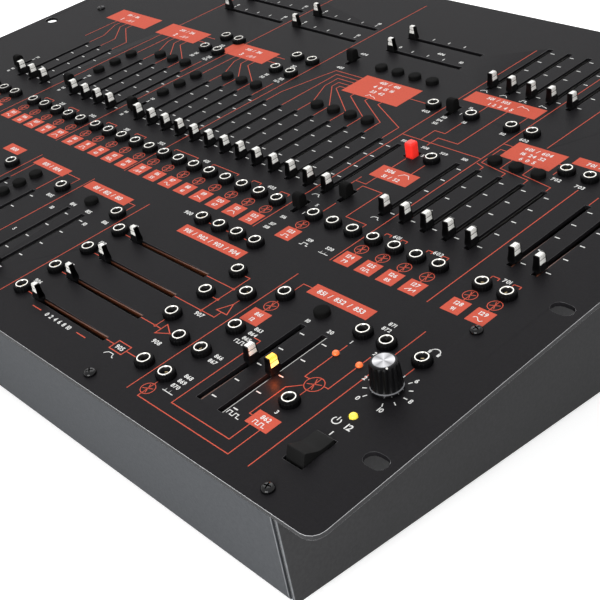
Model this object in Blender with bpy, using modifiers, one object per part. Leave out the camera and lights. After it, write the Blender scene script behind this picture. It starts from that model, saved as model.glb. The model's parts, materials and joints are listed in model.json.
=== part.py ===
"""Desk-top semi-modular synthesizer: a wedge-shaped steel case under a 19 inch, 8 unit front panel.

The panel frame is an empty at the front left corner of the panel's top face. Along it u runs to the
right, v up the panel towards the back, and w out of the panel. The case stands on its feet on z = 0.
"""
import math

import bmesh
import bpy
from mathutils import Matrix, Vector

# Panel: a 19 inch, 8 unit rack plate
PANEL_WIDTH = 0.4826
PANEL_LENGTH = 0.3548
PANEL_THICKNESS = 0.0020
PANEL_CORNER_RADIUS = 0.0060
RACK_SLOT_LENGTH = 0.0102
RACK_SLOT_WIDTH = 0.0070
RACK_SLOT_INSET = 0.0088
RACK_SLOT_NEAR_V = 0.0381
RACK_SLOT_FAR_V = 0.1397

# Case
FRONT_DEPTH = 0.0447
BACK_DEPTH = 0.0984
EAR_WIDTH = 0.0188
SHEET = 0.0015
SIDE_SHEET = 0.0012
SEAM_GAP = 0.0016
WALL_INSET = 0.0010
BEND_RADIUS = 0.0018
LIP_DEPTH = 0.0110
TOP_FLANGE_WIDTH = 0.0032
FLOOR_FLANGE_WIDTH = 0.0100
FLANGE_CLEARANCE = 0.0030
TAB_REACH = 0.0100
TAB_LENGTH = 0.0120
SCREW_ROW_V = 0.1110
FOOT_HEIGHT = 0.0055
FOOT_RADIUS = 0.0090
FOOT_TAPER = 0.0015
FOOT_INSET_X = 0.0350
FOOT_INSET_Y = 0.0300
FOOT_SIDES = 16

# Shape of a rounded edge, where one half is a circle's arc
ROUND_PROFILE = 0.5

# Touching and running clearances
TOUCH_GAP = 0.0003
RUN_GAP = 0.0005

# Layout grid: the faders are one column apart, and every row and column is counted in grid steps
COLUMNS_ACROSS = 36.7
ROWS_ALONG = 29.25
PITCH = (PANEL_WIDTH - 2 * EAR_WIDTH) / COLUMNS_ACROSS
ROW_STEP = PANEL_LENGTH / ROWS_ALONG

# Faders
FADER_TRAVEL = 0.0450
FADER_END_ROOM = 0.0021
STEM_WIDTH = 0.0018
STEM_LENGTH = 0.0041
STEM_DEPTH = 0.0080
SLOT_WIDTH = 0.0030
CAP_WIDTH = 0.0044
CAP_LENGTH = 0.0052
CAP_TOP_LENGTH = 0.0036
CAP_HEIGHT = 0.0082
CAP_LIFT = 0.0005
FADER_BODY_WIDTH = 0.0086
FADER_BODY_END = 0.0028

# Slide switches
SWITCH_TRAVEL = 0.0060
SWITCH_END_ROOM = 0.0009
SWITCH_STEM_LENGTH = 0.0036
SWITCH_CAP_WIDTH = 0.0048
SWITCH_CAP_LENGTH = 0.0054
SWITCH_CAP_TOP_LENGTH = 0.0044
SWITCH_CAP_HEIGHT = 0.0070

# Control board under the panel
BODY_DEPTH = 0.0088
BOARD_THICKNESS = 0.0016
BOARD_NEAR_INSET = 0.0165
BOARD_FAR_INSET = 0.0188
BOARD_SIDE_INSET = 0.0240

# 3.5 mm sockets
JACK_THREAD_RADIUS = 0.0029
JACK_THREAD_SIDES = 6
JACK_NUT_RADIUS = 0.0041
JACK_NUT_HEIGHT = 0.0025
JACK_NUT_SIDES = 8
JACK_BORE_RADIUS = 0.0018
JACK_BORE_DEPTH = 0.0100
JACK_BODY_WIDTH = 0.0086

# Rubber plugs over the trimmers
PLUG_RADIUS = 0.0032
PLUG_HEIGHT = 0.0020
PLUG_SIDES = 8

# Push button
BUTTON_WIDTH = 0.0056
BUTTON_LENGTH = 0.0060
BUTTON_HEIGHT = 0.0080
BUTTON_CORNER = 0.0012
BUTTON_DROP = 0.0040
BUTTON_TRAVEL = 0.0015
BUTTON_STEM_WIDTH = 0.0028
BUTTON_STEM_DROP = 0.0026

# Headphone volume knob
KNOB_RADIUS = 0.0066
KNOB_TOP_RADIUS = 0.0054
KNOB_HEIGHT = 0.0140
KNOB_SKIRT_HEIGHT = 0.0035
KNOB_TOP_CHAMFER = 0.0007
KNOB_LIFT = 0.0008
KNOB_SIDES = 20
KNOB_SHAFT_RADIUS = 0.0030
KNOB_SHAFT_DROP = 0.0075
KNOB_SHAFT_SIDES = 12
POT_BODY_WIDTH = 0.0120

# Power rocker
ROCKER_WIDTH = 0.0086
ROCKER_TOP_LENGTH = 0.0140
ROCKER_FOOT_LENGTH = 0.0146
ROCKER_RISE = 0.0030
ROCKER_VALLEY = 0.0016
ROCKER_PIVOT_DEPTH = 0.0016
ROCKER_SKIRT_DROP = 0.0025
ROCKER_KEEL_LENGTH = 0.0066
ROCKER_KEEL_DROP = 0.0050
ROCKER_TILT = math.radians(14.0)
ROCKER_PIN_RADIUS = 0.0008
ROCKER_PIN_REACH = 0.0014
ROCKER_END_GAP = 0.0012
FRAME_WALL = 0.0020
FRAME_DEPTH = 0.0140
FRAME_CAVITY_DEPTH = 0.0088
CHEEK_LENGTH = 0.0060
CHEEK_DROP = 0.0002
CHEEK_THICKNESS = 0.0016

# Power light
LED_RADIUS = 0.0017
LED_RISE = 0.0013
LED_DROP = 0.0060
LED_FLANGE = 0.0006
LED_SIDES = 10

# Rear sockets on the back wall
REAR_ROW_W = -0.0600
INLET_WIDTH = 0.0275
INLET_HEIGHT = 0.0200
INLET_BODY_DEPTH = 0.0200
INLET_CAVITY_WALL = 0.0015
INLET_CAVITY_DEPTH = 0.0150
INLET_FLANGE_WIDTH = 0.0480
INLET_FLANGE_HEIGHT = 0.0270
INLET_FLANGE = 0.0025
OUTPUT_PITCH = 0.0240
OUTPUT_COUNT = 2
OUTPUT_THREAD_RADIUS = 0.0046
OUTPUT_NUT_RADIUS = 0.0066
OUTPUT_NUT_HEIGHT = 0.0025
OUTPUT_BORE_RADIUS = 0.0035
OUTPUT_BORE_DEPTH = 0.0150
OUTPUT_BODY_WIDTH = 0.0160
DATA_SOCKET_COUNT = 2
DATA_SOCKET_RADIUS = 0.0075
DATA_SOCKET_RISE = 0.0008
DATA_SOCKET_BODY = 0.0180
REAR_BODY_DEPTH = 0.0180
REAR_BOARD_HEIGHT = 0.0240
REAR_BOARD_END = 0.0140
ROUND_SIDES = 12

# Boards on the floor of the case
STANDOFF_HEIGHT = 0.0070
STANDOFF_RADIUS = 0.0030
STANDOFF_INSET = 0.0080
STANDOFF_SIDES = 8
VOICE_BOARD_LENGTH = 0.2000
VOICE_BOARD_Y = -0.0200
VOICE_SIDE_ROOM = 0.0325
CHIP_LENGTH = 0.0200
CHIP_WIDTH = 0.0080
CHIP_HEIGHT = 0.0040
CHIP_COLUMNS = 5
CHIP_ROWS = 4
CHIP_END_ROOM = 0.0380
CHIP_PITCH_Y = 0.0400
POWER_BOARD_WIDTH = 0.1000
POWER_BOARD_LENGTH = 0.1200
POWER_BOARD_Y = 0.0600
POWER_SIDE_ROOM = 0.0225
BETWEEN_BOARDS = 0.0300
TRANSFORMER_SIZE = 0.0400
TRANSFORMER_HEIGHT = 0.0300
TRANSFORMER_X = -0.0200
TRANSFORMER_Y = 0.0300
CAPACITOR_RADIUS = 0.0080
CAPACITOR_HEIGHT = 0.0250
CAPACITOR_COUNT = 3
CAPACITOR_PITCH = 0.0250
CAPACITOR_Y = -0.0150
SINK_BASE = 0.0030
SINK_END_ROOM = 0.0100
SINK_HEIGHT = 0.0240
SINK_Y = -0.0480
FIN_THICKNESS = 0.0020
FIN_DEPTH = 0.0100
FIN_COUNT = 5


def column(steps):
    """u of a grid column, counted from the case's left side."""
    return EAR_WIDTH + steps * PITCH


def row(steps):
    """v of a grid row, counted from the panel's near edge."""
    return steps * ROW_STEP


# Columns on the panel
COLUMN_A = column(3.06)
COLUMN_B = column(7.72)
COLUMN_C = column(12.90)
COLUMN_FILTER = COLUMN_C + 5 * PITCH
COLUMN_ENVELOPE = COLUMN_FILTER + 8 * PITCH
COLUMN_AMPLIFIER = COLUMN_ENVELOPE + 4 * PITCH
COLUMN_MIXER = column(34.72)
COLUMN_POWER = column(35.74)
COLUMN_HOLD = column(31.37)
COLUMN_NOISE = column(17.86)
COLUMN_RING = column(13.27)
COLUMN_MULTIPLE = column(23.41)
COLUMN_PROCESSOR = column(21.29)
COLUMN_LOW_SLIDE = column(24.23)
COLUMN_MODE_SWITCH = column(18.54)
COLUMN_TOP_SLIDE = COLUMN_FILTER + 3.45 * PITCH
COLUMN_PROCESSOR_OUTPUT = column(27.29)
COLUMN_PROCESSOR_END = column(28.58)
COLUMN_HOLD_JACKS = column(29.69)
COLUMN_ELECTRIC_SWITCH = column(33.29)
COLUMN_SWITCH_COMMON = column(33.80)
COLUMN_FILTER_OUTPUT = column(24.92)
COLUMN_GATE = column(26.93)
COLUMN_ENVELOPE_OUTPUT = column(28.95)
COLUMN_REVERB = column(32.76)
COLUMN_FILTER_PLUGS = column(20.40)
COLUMN_AMPLIFIER_PLUGS = column(30.04)
COLUMN_HOLD_PLUG = column(31.45)
COLUMN_NOISE_PLUG = column(18.37)
COLUMN_RING_PLUGS = column(14.27)
COLUMN_INLET = column(4.72)
COLUMN_OUTPUT = column(25.67)
COLUMN_DATA_SOCKET = column(30.20)
LOW_OUTPUT_COLUMNS = (column(12.34), column(16.27), column(20.15))
HIGH_PAIR_COLUMNS = (column(10.78), column(11.74), column(15.95), column(16.96))

# Rows on the panel
MAIN_BANK_V = row(14.66)
TOP_BANK_V = row(24.55)
LOW_BANK_V = row(4.07)
JACK_ROW_V = row(11.10)
MULTIPLE_V = row(8.64)
LOW_SLIDE_V = row(1.94)
LOW_SLIDE_PITCH = 1.453 * ROW_STEP
TOP_SLIDE_V = row(23.39)
TOP_SLIDE_PITCH = 1.48 * ROW_STEP
BUTTON_V = row(16.47)
KNOB_V = row(5.52)
LED_V = row(4.08)
ROCKER_V = row(2.34)
RANGE_SWITCH_V = row(13.47)
LOW_FACTOR_V = row(11.36)
SOURCE_SWITCH_V = row(12.83)
HIGH_FACTOR_V = row(20.10)
MODE_SWITCH_V = row(21.76)
PROCESSOR_OUTPUT_V = row(4.11)
PROCESSOR_OUTPUT_PITCH = 1.47 * ROW_STEP
PROCESSOR_SUM_V = row(6.31)
LOW_JACKS_V = row(7.05)
LOW_OUTPUTS_V = row(7.01)
HIGH_PAIR_V = row(19.28)
HIGH_PAIR_PITCH = 1.39 * ROW_STEP
HIGH_JACKS_V = row(20.02)
REVERB_V = row(18.34)
NEAR_PLUGS_V = row(17.62)
FAR_PLUGS_V = row(21.68)
PLUG_STACK_V = row(14.92)
RING_PLUGS_V = row(5.36)
RING_PLUG_PITCH = 0.82 * ROW_STEP

# Worked out from the sizes above
TILT = math.atan((BACK_DEPTH - FRONT_DEPTH) / PANEL_LENGTH)
BACK_WALL_V = PANEL_LENGTH - WALL_INSET
UNDERSIDE = -PANEL_THICKNESS - TOUCH_GAP
BOARD_TOP = UNDERSIDE - BODY_DEPTH
BOARD_LOW = BOARD_TOP - BOARD_THICKNESS
BOARD_MIDDLE = BOARD_TOP - BOARD_THICKNESS / 2
CUT_OVER = 2 * PANEL_THICKNESS
CASE_HALF_WIDTH = PANEL_WIDTH / 2 - EAR_WIDTH
FLOOR_TOP = FOOT_HEIGHT + SHEET
DEPTH_OVER_ALL = BACK_WALL_V * math.cos(TILT) + (
    FRONT_DEPTH + BACK_WALL_V * math.tan(TILT)) * math.sin(TILT)
PANEL_ORIGIN = Vector((
    -PANEL_WIDTH / 2,
    -DEPTH_OVER_ALL / 2,
    FOOT_HEIGHT + FRONT_DEPTH * math.cos(TILT)))
FADER_SLOT_LENGTH = FADER_TRAVEL + STEM_LENGTH + 2 * FADER_END_ROOM
SWITCH_SLOT_LENGTH = SWITCH_TRAVEL + SWITCH_STEM_LENGTH + 2 * SWITCH_END_ROOM
FADER_REST = -FADER_TRAVEL / 2
SWITCH_THROW = SWITCH_TRAVEL / 2
ROCKER_OPENING_HALF_WIDTH = ROCKER_WIDTH / 2 + RUN_GAP
ROCKER_OPENING_HALF_LENGTH = ROCKER_FOOT_LENGTH / 2 + ROCKER_END_GAP
VOICE_BOARD_WIDTH = (2 * CASE_HALF_WIDTH - POWER_SIDE_ROOM - POWER_BOARD_WIDTH - BETWEEN_BOARDS
                     - VOICE_SIDE_ROOM)
VOICE_BOARD_X = CASE_HALF_WIDTH - VOICE_SIDE_ROOM - VOICE_BOARD_WIDTH / 2
POWER_BOARD_X = POWER_SIDE_ROOM + POWER_BOARD_WIDTH / 2 - CASE_HALF_WIDTH
CHIP_PITCH_X = (VOICE_BOARD_WIDTH - 2 * CHIP_END_ROOM) / (CHIP_COLUMNS - 1)
SINK_WIDTH = POWER_BOARD_WIDTH - 2 * SINK_END_ROOM


# Where things are

def run_of(first, count):
    """Positions of a row of pieces at the fader pitch."""
    return [first + step * PITCH for step in range(count)]


def bank(name, first, count):
    """Names and positions of a row of faders."""
    return {f"fader_{name}_{step + 1}": u for step, u in enumerate(run_of(first, count))}


def upright_faders():
    """Name, (u, v) of the slot's middle and rest offset of each fader that slides along v."""
    rows = [
        (bank("oscillator_b", COLUMN_B + PITCH, 4), MAIN_BANK_V, FADER_REST),
        (bank("oscillator_c", COLUMN_C + PITCH, 4), MAIN_BANK_V, FADER_REST),
        (bank("filter", COLUMN_FILTER, 8), MAIN_BANK_V, FADER_REST),
        ({"fader_attack": COLUMN_ENVELOPE}, MAIN_BANK_V, FADER_REST),
        ({"fader_release": COLUMN_ENVELOPE + 3 * PITCH}, MAIN_BANK_V, FADER_REST),
        (bank("amplifier", COLUMN_AMPLIFIER, 4), MAIN_BANK_V, FADER_REST),
        (bank("mixer", COLUMN_MIXER, 2), MAIN_BANK_V, FADER_REST),
        (bank("envelope", COLUMN_ENVELOPE, 5), TOP_BANK_V, FADER_REST),
        (bank("hold", COLUMN_HOLD, 2), LOW_BANK_V, 0.0),
    ]
    return [(name, (u, v), rest) for row, v, rest in rows for name, u in row.items()]


def sideways_faders():
    """Name and (u, v) of the slot's middle of each fader that slides along u."""
    return [(f"fader_processor_{step + 1}", (COLUMN_LOW_SLIDE, LOW_SLIDE_V + step * LOW_SLIDE_PITCH))
            for step in range(4)]


def slide_switches():
    """Name, (u, v) of the slot's middle and rest offset of each slide switch."""
    return [
        ("switch_range_a", (COLUMN_A, RANGE_SWITCH_V), -SWITCH_THROW),
        ("switch_range_b", (COLUMN_B, RANGE_SWITCH_V), -SWITCH_THROW),
        ("switch_range_c", (COLUMN_C, RANGE_SWITCH_V), -SWITCH_THROW),
        ("switch_mode", (COLUMN_MODE_SWITCH, MODE_SWITCH_V), 0.0),
        ("switch_low_factor", (COLUMN_ENVELOPE, LOW_FACTOR_V), 0.0),
        ("switch_source", (COLUMN_ENVELOPE + PITCH, SOURCE_SWITCH_V), 0.0),
        ("switch_high_factor", (COLUMN_ENVELOPE, HIGH_FACTOR_V), 0.0),
    ]


def still_upright_faders():
    """(u, v) of the upright faders that stay at rest."""
    places = [(u, MAIN_BANK_V) for u in run_of(COLUMN_A + PITCH, 3)]
    places += [(u, LOW_BANK_V) for u in run_of(COLUMN_NOISE, 2)]
    places += [(COLUMN_RING, LOW_BANK_V), (COLUMN_RING + 2 * PITCH, LOW_BANK_V)]
    places += [(COLUMN_RING - 2 * PITCH, LOW_BANK_V)]
    places += [(u, TOP_BANK_V) for u in run_of(COLUMN_MIXER, 2)]
    return places


def still_sideways_faders():
    """(u, v) of the sideways faders that stay at rest."""
    columns = (COLUMN_TOP_SLIDE, COLUMN_C + 2 * PITCH, COLUMN_B + 2 * PITCH)
    return [(u, TOP_SLIDE_V + step * TOP_SLIDE_PITCH) for u in columns for step in range(2)]


def jack_places():
    """(u, v) of every 3.5 mm socket."""
    places = [(u, MULTIPLE_V) for u in run_of(COLUMN_MULTIPLE, 4)]
    places += [(COLUMN_PROCESSOR, LOW_SLIDE_V + step * LOW_SLIDE_PITCH) for step in range(4)]
    places += [(COLUMN_PROCESSOR_OUTPUT, PROCESSOR_OUTPUT_V + step * PROCESSOR_OUTPUT_PITCH)
               for step in range(3)]
    places += [(COLUMN_PROCESSOR_END, LOW_SLIDE_V + step * LOW_SLIDE_PITCH) for step in range(2)]
    places += [(COLUMN_PROCESSOR_END, PROCESSOR_SUM_V)]
    places += [(COLUMN_HOLD_JACKS, LOW_SLIDE_V + step * LOW_SLIDE_PITCH) for step in range(3)]
    places += [(COLUMN_HOLD_JACKS, LOW_JACKS_V), (COLUMN_SWITCH_COMMON, LOW_SLIDE_V + LOW_SLIDE_PITCH)]
    places += [(u, LOW_JACKS_V) for u in run_of(COLUMN_ELECTRIC_SWITCH, 2) + [COLUMN_POWER]]
    places += [(u, LOW_OUTPUTS_V) for u in LOW_OUTPUT_COLUMNS]
    places += [(u, JACK_ROW_V) for u in run_of(COLUMN_A, 4)]
    places += [(u, JACK_ROW_V) for u in run_of(COLUMN_B, 5)]
    places += [(u, JACK_ROW_V) for u in run_of(COLUMN_C, 13)]
    places += [(u, JACK_ROW_V) for u in run_of(COLUMN_ENVELOPE + PITCH, 7)]
    places += [(u, JACK_ROW_V) for u in run_of(COLUMN_MIXER, 2)]
    places += [(COLUMN_ENVELOPE + 2 * PITCH, BUTTON_V)]
    places += [(u, HIGH_PAIR_V + step * HIGH_PAIR_PITCH) for u in HIGH_PAIR_COLUMNS
               for step in range(2)]
    places += [(u, HIGH_JACKS_V) for u in run_of(COLUMN_ENVELOPE_OUTPUT, 2)]
    places += [(COLUMN_FILTER_OUTPUT, HIGH_JACKS_V), (COLUMN_GATE, HIGH_JACKS_V)]
    places += [(u, REVERB_V) for u in run_of(COLUMN_REVERB, 2)]
    return places


def plug_places():
    """(u, v) of the round rubber plugs over the trimmers."""
    places = [(u, v) for u in run_of(COLUMN_FILTER_PLUGS, 4) for v in (NEAR_PLUGS_V, FAR_PLUGS_V)]
    places += [(u + 1.5 * PITCH, NEAR_PLUGS_V) for u in run_of(COLUMN_B, 3) + run_of(COLUMN_C, 3)]
    places += [(u, NEAR_PLUGS_V) for u in run_of(COLUMN_AMPLIFIER_PLUGS, 3)]
    places += [(u, PLUG_STACK_V + step * ROW_STEP) for u in (COLUMN_B, COLUMN_C)
               for step in range(3)]
    places += [(COLUMN_HOLD_PLUG, LOW_JACKS_V), (COLUMN_NOISE_PLUG, LOW_OUTPUTS_V)]
    places += [(COLUMN_RING_PLUGS, RING_PLUGS_V + step * RING_PLUG_PITCH) for step in range(3)]
    return places


def rack_slot_places():
    """(u, v) of the eight mounting slots in the panel's ears."""
    rows = (RACK_SLOT_NEAR_V, RACK_SLOT_FAR_V)
    places = [(RACK_SLOT_INSET, v) for v in rows]
    places += [(RACK_SLOT_INSET, PANEL_LENGTH - v) for v in rows]
    return places + [(PANEL_WIDTH - u, v) for u, v in places]


def button_place():
    """(u, v) of the push button."""
    return (COLUMN_ENVELOPE + PITCH, BUTTON_V)


def upright_slots():
    """(u, v), length of every slot along v."""
    slots = [(place, FADER_SLOT_LENGTH) for _, place, _ in upright_faders()]
    slots += [(place, FADER_SLOT_LENGTH) for place in still_upright_faders()]
    slots += [(place, SWITCH_SLOT_LENGTH) for _, place, _ in slide_switches()]
    return slots


def sideways_slots():
    """(u, v), length of every slot along u."""
    slots = [(place, FADER_SLOT_LENGTH) for _, place in sideways_faders()]
    return slots + [(place, FADER_SLOT_LENGTH) for place in still_sideways_faders()]


def slot_halves():
    """(u, v) and the two half sizes of every slot."""
    halves = [(place, SLOT_WIDTH / 2, length / 2) for place, length in upright_slots()]
    return halves + [(place, length / 2, SLOT_WIDTH / 2) for place, length in sideways_slots()]


def body_halves():
    """(u, v) and the two half sizes of every fader and switch body."""
    half = FADER_BODY_WIDTH / 2
    halves = [(place, half, length / 2 + FADER_BODY_END) for place, length in upright_slots()]
    return halves + [(place, length / 2 + FADER_BODY_END, half) for place, length in sideways_slots()]


def output_places():
    """u of each rear output socket."""
    return [COLUMN_OUTPUT + step * OUTPUT_PITCH for step in range(OUTPUT_COUNT)]


def data_socket_places():
    """u of each rear data socket."""
    return [COLUMN_DATA_SOCKET + step * OUTPUT_PITCH for step in range(DATA_SOCKET_COUNT)]


def floor_w(v):
    """Height of the case's underside at v, in the panel frame."""
    return -FRONT_DEPTH - v * math.tan(TILT)


# Scene and materials

def clear_scene():
    """Start from an empty file."""
    for thing in list(bpy.data.objects):
        bpy.data.objects.remove(thing, do_unlink=True)


def new_collection(name):
    """Add a collection to the scene."""
    made = bpy.data.collections.new(name)
    bpy.context.scene.collection.children.link(made)
    return made


def new_material(name, colour, roughness, metallic=0.0):
    """Make a Principled material."""
    made = bpy.data.materials.new(name)
    made.use_nodes = True
    shader = made.node_tree.nodes["Principled BSDF"]
    shader.inputs["Base Color"].default_value = (*colour, 1.0)
    shader.inputs["Roughness"].default_value = roughness
    shader.inputs["Metallic"].default_value = metallic
    return made


def make_panel_frame(collection):
    """Empty that carries every piece laid out on the panel."""
    frame = bpy.data.objects.new("panel_frame", None)
    frame.location = PANEL_ORIGIN
    frame.rotation_euler = (TILT, 0.0, 0.0)
    collection.objects.link(frame)
    return frame


# Shapes

def add_box(mesh, low, high):
    """Box between two corners; returns its vertices."""
    low = Vector(low)
    high = Vector(high)
    made = bmesh.ops.create_cube(mesh, size=1.0)["verts"]
    bmesh.ops.scale(mesh, vec=high - low, verts=made)
    bmesh.ops.translate(mesh, vec=(high + low) / 2, verts=made)
    return made


def add_middle_box(mesh, place, half_u, half_v, low, high):
    """Box on a middle (u, v), between two heights."""
    add_box(mesh, (place[0] - half_u, place[1] - half_v, low),
            (place[0] + half_u, place[1] + half_v, high))


def add_rounded_box(mesh, low, high, radius, segments):
    """Box with its four upright edges rounded."""
    made = add_box(mesh, low, high)
    edges = {edge for vertex in made for edge in vertex.link_edges
             if abs(edge.verts[0].co.z - edge.verts[1].co.z) > TOUCH_GAP}
    bmesh.ops.bevel(mesh, geom=list(edges), offset=radius, segments=segments,
                    profile=ROUND_PROFILE, affect="EDGES", clamp_overlap=True)


def add_cylinder(mesh, place, radius, low, high, sides):
    """Upright cylinder on a middle (u, v)."""
    made = bmesh.ops.create_cone(mesh, cap_ends=True, segments=sides, radius1=radius,
                                 radius2=radius, depth=high - low)["verts"]
    bmesh.ops.translate(mesh, vec=(place[0], place[1], (low + high) / 2), verts=made)


def add_back_cylinder(mesh, place, radius, low, high, sides):
    """Cylinder along v on a middle (u, w)."""
    made = bmesh.ops.create_cone(mesh, cap_ends=True, segments=sides, radius1=radius,
                                 radius2=radius, depth=high - low)["verts"]
    bmesh.ops.rotate(mesh, matrix=Matrix.Rotation(math.pi / 2, 3, "X"), verts=made)
    bmesh.ops.translate(mesh, vec=(place[0], (low + high) / 2, place[1]), verts=made)


def add_side_cylinder(mesh, radius, low, high, sides):
    """Cylinder along u through the origin."""
    made = bmesh.ops.create_cone(mesh, cap_ends=True, segments=sides, radius1=radius,
                                 radius2=radius, depth=high - low)["verts"]
    bmesh.ops.rotate(mesh, matrix=Matrix.Rotation(math.pi / 2, 3, "Y"), verts=made)
    bmesh.ops.translate(mesh, vec=((low + high) / 2, 0.0, 0.0), verts=made)


def add_side_outline(mesh, outline, low, high):
    """Flat outline of (v, w) corners, drawn out along u from low to high."""
    face = mesh.faces.new([mesh.verts.new((low, v, w)) for v, w in outline])
    grown = bmesh.ops.extrude_face_region(mesh, geom=[face])["geom"]
    moved = [item for item in grown if isinstance(item, bmesh.types.BMVert)]
    bmesh.ops.translate(mesh, vec=(high - low, 0.0, 0.0), verts=moved)


def mesh_data(name, mesh):
    """Turn a bmesh into mesh data with its faces pointing out."""
    bmesh.ops.recalc_face_normals(mesh, faces=mesh.faces)
    data = bpy.data.meshes.new(name)
    mesh.to_mesh(data)
    mesh.free()
    return data


def make_object(name, mesh, collection, parent=None, material=None):
    """Turn a bmesh into an object of a collection."""
    data = mesh_data(name, mesh)
    if material:
        data.materials.append(material)
    made = bpy.data.objects.new(name, data)
    made.parent = parent
    collection.objects.link(made)
    return made


def change_shape(target, name, mesh, operation, parent=None):
    """Cut a shape out of a target, or join it to the target."""
    tool = make_object(f"{target.name}_{name}", mesh, bpy.data.collections["cutters"], parent)
    tool.hide_render = True
    tool.display_type = "WIRE"
    step = target.modifiers.new(name, "BOOLEAN")
    step.operation = operation
    step.object = tool
    step.solver = "EXACT"


def make_turned(name, profile, sides, collection, material, parent=None):
    """Turned piece: a profile of (radius, height) from the top down, spun round its axis."""
    mesh = bmesh.new()
    ring = [mesh.verts.new((radius, 0.0, height)) for radius, height in profile]
    for first, second in zip(ring, ring[1:]):
        mesh.edges.new((first, second))
    made = make_object(name, mesh, collection, parent, material)
    spin = made.modifiers.new("spin", "SCREW")
    spin.axis = "Z"
    spin.steps = sides
    spin.render_steps = sides
    spin.use_merge_vertices = True
    spin.merge_threshold = 0.00001
    spin.use_smooth_shade = True
    return made


# Panel

def make_front_panel(parts, frame, material):
    """Rounded steel sheet with every slot and hole, and the rubber plugs pressed into it.

    The ears' undersides lie on the rack's rails, so they are faces of their own.
    """
    mesh = bmesh.new()
    add_rounded_box(mesh, (0, 0, -PANEL_THICKNESS), (PANEL_WIDTH, PANEL_LENGTH, 0),
                    PANEL_CORNER_RADIUS, 4)
    for u in (EAR_WIDTH - TOUCH_GAP, PANEL_WIDTH - EAR_WIDTH + TOUCH_GAP):
        bmesh.ops.bisect_plane(mesh, geom=mesh.verts[:] + mesh.edges[:] + mesh.faces[:],
                               plane_co=(u, 0.0, 0.0), plane_no=(1.0, 0.0, 0.0))
    panel = make_object("front_panel", mesh, parts, frame, material)
    slots = bmesh.new()
    for place, half_u, half_v in slot_halves():
        add_middle_box(slots, place, half_u, half_v, -CUT_OVER, CUT_OVER)
    for place in jack_places():
        add_cylinder(slots, place, JACK_THREAD_RADIUS + RUN_GAP, -CUT_OVER, CUT_OVER,
                     JACK_THREAD_SIDES)
    for u, v in rack_slot_places():
        half_u = RACK_SLOT_LENGTH / 2
        half_v = RACK_SLOT_WIDTH / 2
        add_rounded_box(slots, (u - half_u, v - half_v, -CUT_OVER),
                        (u + half_u, v + half_v, CUT_OVER), half_v * 0.99, 3)
    add_middle_box(slots, (COLUMN_POWER, ROCKER_V), ROCKER_OPENING_HALF_WIDTH,
                   ROCKER_OPENING_HALF_LENGTH, -CUT_OVER, CUT_OVER)
    add_cylinder(slots, (COLUMN_POWER, LED_V), LED_RADIUS + TOUCH_GAP, -CUT_OVER, CUT_OVER,
                 LED_SIDES)
    add_cylinder(slots, (COLUMN_POWER, KNOB_V), KNOB_SHAFT_RADIUS + RUN_GAP, -CUT_OVER,
                 CUT_OVER, KNOB_SHAFT_SIDES)
    add_middle_box(slots, button_place(), BUTTON_WIDTH / 2 + RUN_GAP,
                   BUTTON_LENGTH / 2 + RUN_GAP, -CUT_OVER, CUT_OVER)
    change_shape(panel, "slots", slots, "DIFFERENCE", frame)
    notches = bmesh.new()
    add_middle_box(notches, (COLUMN_POWER, ROCKER_V),
                   ROCKER_OPENING_HALF_WIDTH + CHEEK_THICKNESS + TOUCH_GAP,
                   CHEEK_LENGTH / 2 + TOUCH_GAP, -CUT_OVER, CUT_OVER)
    change_shape(panel, "notches", notches, "DIFFERENCE", frame)
    plugs = bmesh.new()
    for place in plug_places():
        add_cylinder(plugs, place, PLUG_RADIUS, -PANEL_THICKNESS / 2, PLUG_HEIGHT, PLUG_SIDES)
    change_shape(panel, "plugs", plugs, "UNION", frame)


# Control board with the bodies of faders, switches and sockets

def add_cap(mesh, width, length, top_length, height, stem_length, stem_end):
    """Cap that narrows upwards, with its bottom drawn down into a flat lever."""
    cap = add_box(mesh, (-width / 2, -length / 2, CAP_LIFT), (width / 2, length / 2, height))
    for vertex in cap:
        if vertex.co.z > height / 2:
            vertex.co.y *= top_length / length
    bottom = min({face for vertex in cap for face in vertex.link_faces},
                 key=lambda face: face.calc_center_median().z)
    bmesh.ops.inset_region(mesh, faces=[bottom], thickness=(width - STEM_WIDTH) / 2)
    for vertex in bottom.verts:
        vertex.co.y = math.copysign(stem_length / 2, vertex.co.y)
    end = bmesh.ops.extrude_discrete_faces(mesh, faces=[bottom])["faces"][0]
    bmesh.ops.translate(mesh, vec=(0.0, 0.0, stem_end - CAP_LIFT), verts=end.verts)


def add_still_caps(mesh):
    """Faders that stay at rest, whose levers stand on the board."""
    places = [(u, v + FADER_REST, 0.0) for u, v in still_upright_faders()]
    places += [(u + FADER_REST, v, math.pi / 2) for u, v in still_sideways_faders()]
    for u, v, turn in places:
        before = set(mesh.verts)
        add_cap(mesh, CAP_WIDTH, CAP_LENGTH, CAP_TOP_LENGTH, CAP_HEIGHT, STEM_LENGTH,
                BOARD_MIDDLE)
        made = [vertex for vertex in mesh.verts if vertex not in before]
        bmesh.ops.rotate(mesh, matrix=Matrix.Rotation(turn, 3, "Z"), verts=made)
        bmesh.ops.translate(mesh, vec=(u, v, 0.0), verts=made)


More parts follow.
